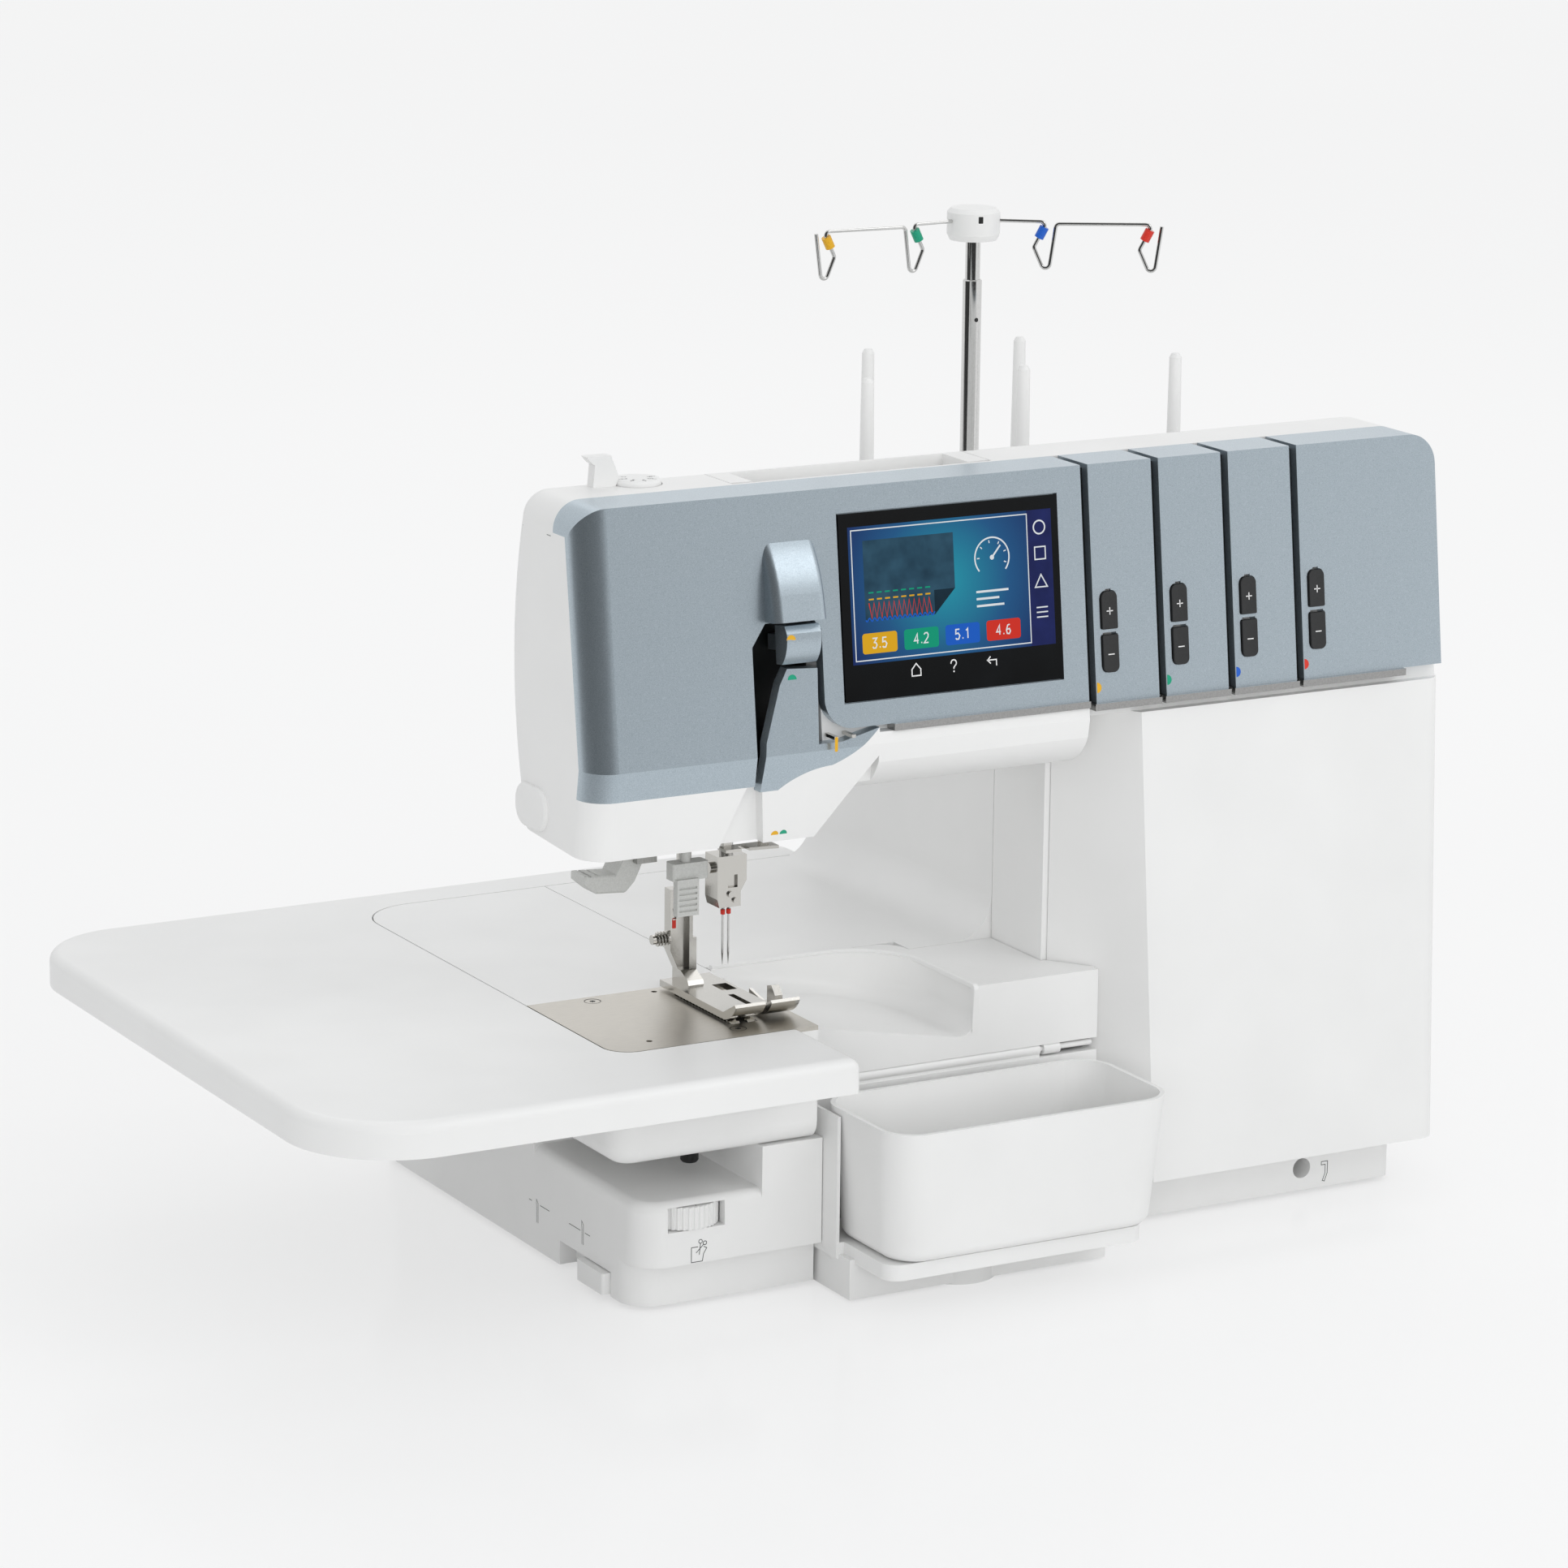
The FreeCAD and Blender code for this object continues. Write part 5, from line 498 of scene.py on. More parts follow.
class Drawing:
    """Collects lines and patches on a sheet, in one printed layer, and makes them one piece."""

    # The sharpest corner of a line: its mitre reaches no further than the width over this.
    sharpest = 0.45
    # A filled outline shrinks to this share before its last face closes it.
    last_share = 0.02
    # Shares of a numeral's height: its width, and the way to the next sign after a figure or a point.
    figure_width, figure_step, point_step = 0.5, 0.8, 0.36

    def __init__(self, sheet, layer=1):
        self.sheet = sheet
        self.lift = bpy.context.scene.overlock.print_lift * layer
        self.points = []
        self.faces = []

    def keep(self, places, *face_groups):
        """Adds world places and groups of faces, which count from the first of these places."""
        before = sum(len(group) for group in self.points)
        self.points.append(places)
        for faces in face_groups:
            self.faces += (faces + before).tolist()
        return self

    def lay(self, flat, *face_groups):
        """Adds flat points, laid down on the sheet's node, and their faces."""
        return self.keep(self.sheet.place(flat, self.lift), *face_groups)

    def line(self, path, width, closed=False):
        """Strip along a path: each point moves half the width both ways along its mitred normal."""
        path = np.asarray(path, dtype=float)
        before = np.roll(path, 1, axis=0)
        after = np.roll(path, -1, axis=0)
        if not closed:
            before[0] = 2 * path[0] - path[1]
            after[-1] = 2 * path[-1] - path[-2]
        first = (path - before) / np.linalg.norm(path - before, axis=1, keepdims=True)
        second = (after - path) / np.linalg.norm(after - path, axis=1, keepdims=True)
        ahead = first + second
        normal = np.stack([-ahead[:, 1], ahead[:, 0]], axis=1)
        normal /= np.maximum(np.linalg.norm(normal, axis=1, keepdims=True), 1e-9)
        straight = np.stack([-first[:, 1], first[:, 0]], axis=1)
        reach = width / 2 / np.clip((normal * straight).sum(axis=1, keepdims=True), self.sharpest, 1)
        sides = np.stack([path + normal * reach, path - normal * reach])
        return self.lay(sides, grid_faces(2, len(path), closed))

    def fan(self, rim, rings=4):
        """Convex outline filled by rings that shrink towards its mean point, and a small last face."""
        rim = np.asarray(rim, dtype=float)
        middle = rim.mean(axis=0)
        share = np.linspace(1, self.last_share, rings)[:, None, None]
        last = np.arange((rings - 1) * len(rim), rings * len(rim))
        return self.lay(middle + (rim - middle) * share, grid_faces(rings, len(rim), True), last[None])

    def patch(self, left, low, right, high, corner=0.0):
        """Rectangle whose rim is a small circle pushed out to each of the four corners."""
        turn = on_circle(whole_turn(RIM_POINTS) + np.pi / RIM_POINTS)
        middle = np.array([(left + right) / 2, (low + high) / 2])
        half = np.array([(right - left) / 2, (high - low) / 2])
        return self.fan(middle + np.sign(turn) * (half - corner) + turn * corner)

    def disc(self, x, y, radius, start=0, stop=360):
        """Disc, or the part of one cut off by the chord between two angles in degrees."""
        angle = np.radians(np.linspace(start, stop, RIM_POINTS + 1))
        whole = stop - start == 360
        return self.fan(moved(radius * on_circle(angle[:-1] if whole else angle), x, y))

    def ring(self, x, y, radius, width, start=0, stop=360):
        """Circle or arc drawn as a strip."""
        angle = np.radians(np.linspace(start, stop, ARC_STEPS + 1))
        whole = stop - start == 360
        return self.line(moved(radius * on_circle(angle[:-1] if whole else angle), x, y), width, whole)

    def numerals(self, text, x, y, height, width):
        """Plain numerals of straight strokes on a grid one unit wide and high."""
        for sign in text:
            for stroke in STROKES[sign]:
                self.line(moved(np.array(stroke) * (height * self.figure_width, height), x, y), width)
            x += height * (self.point_step if sign == "." else self.figure_step)
        return self

    def make(self, name, finish, body="machine"):
        """Puts everything drawn into one piece."""
        return put(name, np.vstack(self.points), self.faces, finish, body)


STROKES = {
    "1": [[(0.2, 0.8), (0.6, 1), (0.6, 0)]],
    "2": [[(0, 0.85), (0.3, 1), (0.8, 1), (1, 0.8), (0.9, 0.55), (0, 0), (1, 0)]],
    "3": [[(0, 1), (1, 1), (0.4, 0.58), (0.8, 0.52), (1, 0.3), (0.7, 0), (0.2, 0), (0, 0.15)]],
    "4": [[(0.75, 0), (0.75, 1), (0, 0.3), (1, 0.3)]],
    "5": [[(0.95, 1), (0.1, 1), (0.05, 0.55), (0.6, 0.62), (1, 0.35), (0.7, 0), (0.2, 0), (0, 0.12)]],
    "6": [[(0.9, 0.95), (0.4, 0.9), (0.05, 0.4), (0.2, 0.05),
           (0.7, 0), (1, 0.25), (0.8, 0.52), (0.1, 0.45)]],
    "7": [[(0, 1), (1, 1), (0.35, 0)]],
    ".": [[(0, 0.06), (0.24, 0.06)]],
}


# Operators


class OVERLOCK_OT_finishes(bpy.types.Operator):
    """Makes the finishes and gives each CAD node the one of its slot"""

    bl_idname = "overlock.finishes"
    bl_label = "Finishes"
    bl_options = {"REGISTER", "UNDO"}

    def execute(self, context):
        looks = context.scene.overlock
        FINISHES.update(shell_finishes(looks))
        FINISHES.update(metal_finishes())
        FINISHES.update(print_finishes(looks))
        for name, thing in NODES.items():
            thing.data.materials.clear()
            thing.data.materials.append(FINISHES[SLOT_OF[name]])
        # The sills are plated plastic; they take a darker copy of the chrome on steel elsewhere, which paints
        # shade into their colour.
        NODES["bright_sills"].data.materials[0] = FINISHES["painted_shade_chrome"]
        return {"FINISHED"}


class OVERLOCK_OT_screen(bpy.types.Operator):
    """Lit picture of the display: cloth with stitches, gauge, symbols and four thread tensions"""

    bl_idname = "overlock.screen"
    bl_label = "Display"
    bl_options = {"REGISTER", "UNDO"}

    # Black rim of the glass beside, below and above the lit area, and the band for symbols inside it.
    rim_left, rim_right, rim_low, rim_high = 4.6, 3.5, 17.205, 5.56
    band = 13.0
    # White line round the picture: its distance from the lit edge and its width.
    frame_inset, frame_width = 1.6, 0.5
    # Layers of the picture, from the glass outwards.
    ground, fields, lines, crossings = 1, 2, 3, 4
    # Cloth from the left and lower edge of the lit area, its size and its folded corner.
    cloth_left, cloth_low, cloth_width, cloth_height, cloth_fold = 7.4, 19.0, 47.0, 36.0, 11.0
    # Stitches start this far from the cloth's left edge and end this far before its fold.
    seam_start, zigzag_end, stitch_end = 2.0, 1.0, 3.0
    # Stitches of the overlock edge: step, lowest and highest point, and line.
    zigzag_step, zigzag_low, zigzag_high, zigzag_line = 1.3, 1.2, 8.0, 0.55
    # Loops along the edge: a sine wave with so many radians per mm, its middle, height and line.
    loop_wave, loop_low, loop_height, loop_line, loop_points = 2.4, 0.6, 0.7, 0.6, 120
    # Needle stitches: length, step and line, and the height of each thread's row.
    stitch, stitch_step, stitch_line = 2.6, 4.2, 0.7
    stitch_rows = ("yellow", 9.6), ("green", 12.6)
    # Tension fields from the left and lower edge of the lit area, and the numbers inside them.
    field_left, field_step, field_width = 5.2, 21.6, 18.0
    field_low, field_high, field_corner = 4.4, 13.6, 1.4
    text_left, text_low, text_height, text_line = 5.2, 6.8, 4.4, 0.6
    # Gauge from the right and upper edge of the lit area: radius, line, and its arc in degrees.
    gauge_right, gauge_high, gauge_radius, gauge_line = 32.0, 19.5, 9.0, 0.7
    arc_start, arc_stop = -40, 220
    # Its hub, the tip of its pointer from the hub, its ticks and the bars below it.
    hub_radius, pointer_tip, pointer_line = 1.1, (4.6, 5.2), 0.8
    tick_turn, tick_start, tick_stop, tick_line = 40, 6.6, 7.9, 0.5
    bar_low, bar_step, bar_line, bar_lengths = 15.0, 3.2, 1.0, (17.0, 12.0, 14.5)

    def execute(self, context):
        low, high = box_of("display_glass")
        self.glass = Sheet("display_glass", RIGHTWARDS, FRONT_UP)
        self.left, self.right = low[0] + self.rim_left, high[0] - self.rim_right
        self.low, self.high = low[2] + self.rim_low, high[2] - self.rim_high
        edge = self.right - self.band
        lit = Drawing(self.glass, self.ground).patch(self.left, self.low, self.right, self.high)
        lit.make("lit_area", "screen_back")
        band = Drawing(self.glass, self.fields).patch(edge, self.low, self.right, self.high)
        band.make("lit_band", "screen_band")
        self.cloth()
        self.tensions()
        white = Drawing(self.glass, self.lines)
        start = self.left + self.frame_inset
        base, top = self.low + self.frame_inset, self.high - self.frame_inset
        white.line([(start, base), (edge, base), (edge, top), (start, top)], self.frame_width, True)
        self.gauge(white)
        self.symbols(white)
        white.make("lit_signs", "screen_white")
        return {"FINISHED"}

    def cloth(self):
        """Cloth with a folded corner, an overlock edge of zigzag and loops, and two needle lines."""
        left, low = self.left + self.cloth_left, self.low + self.cloth_low
        right, high = left + self.cloth_width, low + self.cloth_height
        # The fold starts here on the lower edge, and the stitches end before it.
        turn = right - self.cloth_fold
        rim = [(left, low), (turn, low), (right, low + self.cloth_fold), (right, high), (left, high)]
        Drawing(self.glass, self.fields).fan(rim).make("lit_cloth", "screen_cloth")
        corner = [(turn, low), (right, low + self.cloth_fold), (turn, low + self.cloth_fold)]
        Drawing(self.glass, self.lines).fan(corner).make("lit_fold", "screen_fold")
        across = np.arange(left + self.seam_start, turn - self.zigzag_end, self.zigzag_step)
        heights = np.where(np.arange(len(across)) % 2, low + self.zigzag_low, low + self.zigzag_high)
        zigzag = Drawing(self.glass, self.lines).line(np.stack([across, heights], axis=1), self.zigzag_line)
        zigzag.make("lit_zigzag", "screen_red")
        along = np.linspace(left, turn, self.loop_points)
        wave = low + self.loop_low + self.loop_height * np.sin(along * self.loop_wave)
        loops = Drawing(self.glass, self.crossings).line(np.stack([along, wave], axis=1), self.loop_line)
        loops.make("lit_loops", "screen_blue")
        for name, row in self.stitch_rows:
            height = low + row
            stitches = Drawing(self.glass, self.lines)
            for start in np.arange(left + self.seam_start, turn - self.stitch_end, self.stitch_step):
                stitches.line([(start, height), (start + self.stitch, height)], self.stitch_line)
            stitches.make("lit_dashes_" + name, "screen_" + name)

    def tensions(self):
        """Four coloured fields along the lower edge, each with a number."""
        low, high = self.low + self.field_low, self.low + self.field_high
        signs = Drawing(self.glass, self.lines)
        for index, (name, text) in enumerate(zip(THREADS, ("3.5", "4.2", "5.1", "4.6"))):
            start = self.left + self.field_left + self.field_step * index
            field = Drawing(self.glass, self.fields)
            field.patch(start, low, start + self.field_width, high, self.field_corner)
            field.make("lit_field_" + name, "screen_" + name)
            place = start + self.text_left, self.low + self.text_low
            signs.numerals(text, *place, self.text_height, self.text_line)
        signs.make("lit_numbers", "screen_white")

    def gauge(self, white):
        """Round gauge with pointer and ticks, and three bars below it."""
        x, z = self.right - self.gauge_right, self.high - self.gauge_high
        white.ring(x, z, self.gauge_radius, self.gauge_line, self.arc_start, self.arc_stop)
        white.disc(x, z, self.hub_radius)
        white.line(moved([(0, 0), self.pointer_tip], x, z), self.pointer_line)
        first = self.arc_start + self.tick_turn / 2
        for way in on_circle(np.radians(np.arange(first, self.arc_stop, self.tick_turn))):
            white.line(moved([way * self.tick_start, way * self.tick_stop], x, z), self.tick_line)
        for index, length in enumerate(self.bar_lengths):
            height = z - self.bar_low - self.bar_step * index
            left = x - self.gauge_radius
            white.line([(left, height), (left + length, height)], self.bar_line)

    def symbols(self, white):
        """Column of plain symbols on the side band: ring, square, triangle and bars."""
        x = self.right - self.band / 2
        ring, square, triangle, bars = (self.high - drop for drop in (8.0, 19.7, 32.3, 46.5))
        half, reach, line = 2.8, 3.2, 0.6
        white.ring(x, ring, radius=3.0, width=0.7)
        corners = [(-half, -half), (half, -half), (half, half), (-half, half)]
        white.line(moved(corners, x, square), line, True)
        white.line(moved([(-reach, -half), (reach, -half), (0, half)], x, triangle), line, True)
        for step in (-2.2, 0, 2.2):
            white.line(moved([(-3, step), (3, step)], x, bars), line)


class OVERLOCK_OT_keys(bpy.types.Operator):
    """Touch keys below the display and signs on the tension buttons"""

    bl_idname = "overlock.keys"
    bl_label = "Keys"
    bl_options = {"REGISTER", "UNDO"}

    # Keys from the lower and left edge of the glass.
    key_height = 12.205
    home_at, help_at, return_at = 37.0, 56.6, 76.7
    key_line = 0.55
    sign_half, sign_line = 1.7, 0.5

    def execute(self, context):
        low = box_of("display_glass")[0]
        height = low[2] + self.key_height
        home, help_sign, back = (low[0] + at for at in (self.home_at, self.help_at, self.return_at))
        keys = Drawing(Sheet("display_glass", RIGHTWARDS, FRONT_UP))
        house = [(-2.3, -2.6), (2.3, -2.6), (2.3, 0.3), (0, 2.9), (-2.3, 0.3)]
        keys.line(moved(house, home, height), self.key_line, True)
        keys.ring(help_sign, height + 1.3, 1.4, self.key_line, -60, 190)
        keys.line(moved([(0.7, 0.1), (0, -0.7), (0, -1.4)], help_sign, height), self.key_line)
        keys.disc(help_sign, height - 2.5, 0.4)
        keys.line(moved([(2.4, -2), (2.4, 0.8), (-2.3, 0.8)], back, height), self.key_line)
        keys.line(moved([(-0.6, 2.4), (-2.3, 0.8), (-0.6, -0.8)], back, height), self.key_line)
        keys.make("touch_keys", "key_print")
        for button, sign in BUTTONS:
            self.sign(button, sign)
        return {"FINISHED"}

    def sign(self, button, sign):
        """Plus or minus in the middle of a button."""
        low, high = box_of(button)
        x, z = (low + high)[[0, 2]] / 2
        drawing = Drawing(Sheet(button, RIGHTWARDS, FRONT_UP))
        drawing.line([(x - self.sign_half, z), (x + self.sign_half, z)], self.sign_line)
        if sign == "plus":
            drawing.line([(x, z - self.sign_half), (x, z + self.sign_half)], self.sign_line)
        drawing.make(button + "_sign", "key_print", button + "_cap")


class OVERLOCK_OT_buttons(bpy.types.Operator):
    """Rounded caps for the tension buttons, each pair shaped as one split pill, and their window corners"""

    bl_idname = "overlock.buttons"
    bl_label = "Buttons"
    bl_options = {"REGISTER", "UNDO"}

    # Corner radii of the pair's outer end and of its split.
    outer, split = 2.8, 0.7
    # Rings of a cap from its wall to its top: inset of the outline and height above the face.
    cap_rings = (0, -2.4), (0, -0.25), (0.2, 0), (0.7, 0), (2.2, -0.05), (4.2, -0.08)
    least_radius = 0.02
    # The leaning face starts a little above the lowest corner of the button's box.
    lean = 0.3
    # Gap round a cap, and the rim that a window corner lays over the door.
    gap, rim = 0.35, 1.2
    # Distance from the window at which the door's plane is found.
    door_step = 1.5

    def execute(self, context):
        windows = Drawing(Sheet("lane_doors", RIGHTWARDS, FRONT_UP))
        for button, sign in BUTTONS:
            low, high = box_of(button)
            middle = (low + high)[[0, 2]] / 2 + (0, self.lean)
            half = (high - low)[[0, 2]] / 2 - (0, self.lean)
            radii = (self.outer, self.split) if sign == "plus" else (self.split, self.outer)
            self.cap(button, middle, half, radii)
            self.window(windows, middle, half + self.gap, [radius + self.gap for radius in radii])
        windows.make("button_windows", "blue_panel")
        return {"FINISHED"}

    def corners(self, radii):
        """Side, height and radius of each corner, anticlockwise."""
        upper, lower = radii
        return (1, 1, upper), (-1, 1, upper), (-1, -1, lower), (1, -1, lower)

    def quarter(self):
        """Unit quarter circle."""
        return on_circle(np.linspace(0, np.pi / 2, CORNER_POINTS))

    def outline(self, half, radii):
        """Rectangle with one radius at its upper and one at its lower corners, anticlockwise."""
        quarters = []
        for across, up, radius in self.corners(radii):
            quarter = (self.quarter() * radius + half - radius) * (across, up)
            quarters.append(quarter if across * up > 0 else quarter[::-1])
        return np.concatenate(quarters)

    def cap(self, button, middle, half, radii):
        """Cap from rings of its outline: up the wall, round the edge and across the slightly hollow top."""
        sheet = Sheet(button, RIGHTWARDS, FRONT_UP)
        face = sheet.place(middle, 0)[0]
        rings = []
        for inset, lift in self.cap_rings:
            rim = self.outline(half - inset, [max(radius - inset, self.least_radius) for radius in radii])
            rings.append(face + sheet.offset(rim) + lift * MM * sheet.out)
        points = np.concatenate(rings)
        count = len(rings[0])
        faces = grid_faces(len(rings), count, True).tolist()
        faces.append(list(range(len(points) - count, len(points))))
        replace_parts(put(button + "_form", points, faces, "button_black", button + "_cap"), button)

    def window(self, windows, middle, half, radii):
        """Fills each square corner of a door's window: a strip from the rounded corner to a square rim."""
        # The plane is found beside the window, where there is door to find.
        beside = np.array([half[0] + self.door_step, 0])
        start = windows.sheet.place(middle + beside, windows.lift)[0]
        # The square rim runs from (1, 0) up to (1, 1) and across to (0, 1).
        along = np.linspace(0, 2, CORNER_POINTS)
        square = np.stack([np.minimum(2 - along, 1), np.minimum(along, 1)], axis=1)
        faces = grid_faces(2, CORNER_POINTS)
        for across, up, radius in self.corners(radii):
            strip = np.concatenate([self.quarter() * radius, square * (radius + self.rim)]) + half - radius
            places = start + windows.sheet.offset(strip * (across, up) - beside)
            windows.keep(places, faces if across * up < 0 else faces[:, ::-1])


class OVERLOCK_OT_thread_marks(bpy.types.Operator):
    """Colour marks that guide each thread: on the lane doors, levers, skirt and guides"""

    bl_idname = "overlock.thread_marks"
    bl_label = "Thread marks"
    bl_options = {"REGISTER", "UNDO"}

    # Door marks: distance left of the buttons, height above the doors' lower edge, and radius.
    before_button, above_edge, door_radius = 3.5, 7.5, 2.4

    def execute(self, context):
        doors = Sheet("lane_doors", RIGHTWARDS, FRONT_UP)
        height = box_of("lane_doors")[0][2] + self.above_edge
        for index, thread in enumerate(THREADS, start=1):
            left = box_of(f"button_plus_{index}")[0][0] - self.before_button
            mark = Drawing(doors).disc(left, height, self.door_radius, -90, 90)
            mark.make("door_mark_" + thread, "print_" + thread)
        self.half_disc("lever", "yellow", "thread_levers", UPWARDS, left=8.7, low=12.544, radius=2.3)
        self.half_disc("lever", "green", "thread_fairing", FRONT_UP, left=16.4, low=50.1, radius=2.3)
        self.half_disc("skirt", "yellow", "head_skirt", SKIRT_UP, left=94.4, low=2.4, radius=1.9)
        self.half_disc("skirt", "green", "head_skirt", SKIRT_UP, left=98.8, low=2.4, radius=1.9)
        self.guide_stripe("yellow", left=44.5, low=49.9, half=(0.8, 3.4), corner=0.7)
        self.guide_stripe("green", left=39.7, low=51.8, half=(0.7, 2.8), corner=0.6)
        return {"FINISHED"}

    def half_disc(self, place, thread, node, up, left, low, radius):
        """Half disc with its flat side down, its middle counted from a node's left and lower edge."""
        x, z = box_of(node)[0][[0, 2]] + (left, low)
        mark = Drawing(Sheet(node, RIGHTWARDS, up)).disc(x, z, radius, 0, 180)
        mark.make(f"{place}_mark_{thread}", "print_" + thread)

    def guide_stripe(self, thread, left, low, half, corner):
        """Upright stripe with rounded ends, its middle counted from the guides' left and lower edge."""
        middle = box_of("thread_guides")[0][[0, 2]] + (left, low)
        mark = Drawing(Sheet("thread_guides", RIGHTWARDS, UPWARDS))
        mark.patch(*(middle - half), *(middle + half), corner)
        mark.make("guide_mark_" + thread, "print_" + thread)


class OVERLOCK_OT_needle_area(bpy.types.Operator):
    """Small parts round the needles: shank rings, latch window, and the painted shade of the plate's screw sockets
    and grooves
    """

    bl_idname = "overlock.needle_area"
    bl_label = "Needle area"
    bl_options = {"REGISTER", "UNDO"}

    shank_radius = 1.0
    # Profile of a shank ring: radius, and drop from the top of the needles.
    ring_profile = (0.9, 2.4), (1.08, 2.5), (1.08, 4.6), (0.8, 4.8)
    # Latch window: its middle from the left and lower edge of the ankle, and half its size.
    latch_left, latch_low, latch_half, latch_corner = 10.8, 21.9, (1.0, 2.3), 0.3
    # Plate screws from the left and front edge of the plate.
    screws = (30.0, 81.0), (68.0, 12.0)
    socket_radius, lobe, lobes = 1.25, 0.28, 6
    groove_radius, groove_width = 3.75, 0.35

    def execute(self, context):
        low, high = box_of("needles")
        ring = [(radius, high[2] - drop) for radius, drop in self.ring_profile]
        y = (low[1] + high[1]) / 2
        for index, x in enumerate((low[0] + self.shank_radius, high[0] - self.shank_radius), start=1):
            turned(f"needle_ring_{index}", ring, (x, y), "print_red", "needle")
        self.latch_window()
        self.plate_screws()
        return {"FINISHED"}

    def latch_window(self):
        """Red window on the front of the presser's ankle."""
        middle = box_of("presser_ankle")[0][[0, 2]] + (self.latch_left, self.latch_low)
        window = Drawing(Sheet("presser_ankle", RIGHTWARDS, UPWARDS))
        window.patch(*(middle - self.latch_half), *(middle + self.latch_half), self.latch_corner)
        window.make("latch_window", "print_red", "presser")

    def plate_screws(self):
        """Painted shade of the lobed sockets, whose radius swells and shrinks with a cosine, and of the groove
        round each head.
        """
        low = box_of("needle_plate")[0]
        plate = Sheet("needle_plate", RIGHTWARDS, BACKWARDS)
        sockets = Drawing(plate)
        grooves = Drawing(plate)
        angle = whole_turn(ROUND_SIDES)
        reach = self.socket_radius + self.lobe * np.cos(self.lobes * angle)
        for left, front in self.screws:
            x, y = low[0] + left, low[1] + front
            # Painted shade: each socket's hollow and each groove is a dark mark laid on the plate.
            sockets.fan(moved(reach[:, None] * on_circle(angle), x, y))
            grooves.ring(x, y, self.groove_radius, self.groove_width)
        sockets.make("screw_sockets", "recess")
        grooves.make("screw_grooves", "recess")


class OVERLOCK_OT_symbols(bpy.types.Operator):
    """Line symbols printed on base and plinth, and the scales of both dials"""

    bl_idname = "overlock.symbols"
    bl_label = "Symbols"
    bl_options = {"REGISTER", "UNDO"}

    scale_line = 0.36
    tick_start, tick_stop = 0.5, 1.6

    def execute(self, context):
        width = context.scene.overlock.symbol_line / MM
        self.knives(width)
        self.cloth(width)
        self.lever(width)
        self.scale("cutting_width_dial", "width", height=2.6, inset=3.9, numbers="1234567")
        self.scale("pressure_dial", "pressure", height=2.4, inset=3.4, numbers="123456")
        return {"FINISHED"}

    def knives(self, width):
        """Knife below and above the cutting line, on the left side of the base."""
        low, high = box_of("dial_block")
        back, cut = -high[1], low[2] + 2.6
        side = Drawing(Sheet("dial_block", FORWARDS, UPWARDS))
        blade = [(0.9, -6), (0.9, 3.6), (-0.8, 5.2), (-0.8, 3.4), (-0.5, 1.2), (-0.5, -6)]
        # Each knife: distance from the block's back edge, drop below the line, and the line's dashes.
        below = 6.5, 3.2, ((-2, 1), (9.5, 19))
        above = 52.5, 0.2, ((39, 50.5), (55, 60))
        for place, drop, dashes in (below, above):
            side.line(moved(blade, back + place, cut - drop), width)
            for start, stop in dashes:
                side.line([(back + start, cut), (back + stop, cut)], width)
        side.make("knife_symbols", "grey_print")

    def cloth(self, width):
        """Cloth and scissors below the cutting width dial."""
        x, z = box_of("dial_block")[0][[0, 2]] + (30.0, 5.0)
        front = Drawing(Sheet("dial_block", RIGHTWARDS, UPWARDS))
        edge = [(-0.6, 2.6), (-4, 2.6), (-4, -4.4), (1.6, -4.4), (2.2, -1), (3.8, 1.6), (2.2, 2.4)]
        front.line(moved(edge, x, z), width)
        front.line(moved([(-1.6, -0.2), (2.2, 3.4)], x, z), width)
        front.line(moved([(0, -1.2), (0.6, 4)], x, z), width)
        grip = 0.9
        front.ring(x + 2.8, z + 4, grip, width).ring(x + 0.6, z + 5, grip, width)
        front.make("cutting_symbol", "grey_print")

    def lever(self, width):
        """Bent lever beside the knee lever's socket."""
        low, high = box_of("base_plinth")
        plinth = Drawing(Sheet("base_plinth", RIGHTWARDS, UPWARDS))
        rod = [(-1.7, -5), (-0.3, -1.4), (-0.3, 3), (-2.6, 3),
               (-2.6, 4.6), (1, 4.6), (1, -1.4), (-0.5, -5.4)]
        plinth.line(moved(rod, high[0] - 38.0, low[2] + 8.0), width, True)
        plinth.make("knee_lever_symbol", "grey_print")

    def scale(self, dial, body, height, inset, numbers):
        """Numerals and ticks round the top of a dial, evenly apart, with room for two more at the back."""
        low, high = box_of(dial)
        centre = (low + high)[:2] / 2
        radius = (high[0] - low[0]) / 2 - inset
        drawing = Drawing(None)
        for index, sign in enumerate(numbers):
            turn = (index - len(numbers) // 2) * 2 * math.pi / (len(numbers) + 2)
            right = np.array([math.cos(turn), math.sin(turn)])
            up = np.array([-math.sin(turn), math.cos(turn)])
            drawing.sheet = Sheet(dial, (*right, 0), (*up, 0))
            x, y = centre @ right, centre @ up - radius
            drawing.numerals(sign, x - height * Drawing.figure_width / 2, y, height, self.scale_line)
            drawing.line([(x, y - self.tick_stop), (x, y - self.tick_start)], self.scale_line)
        drawing.make(dial + "_scale", "grey_print", body)


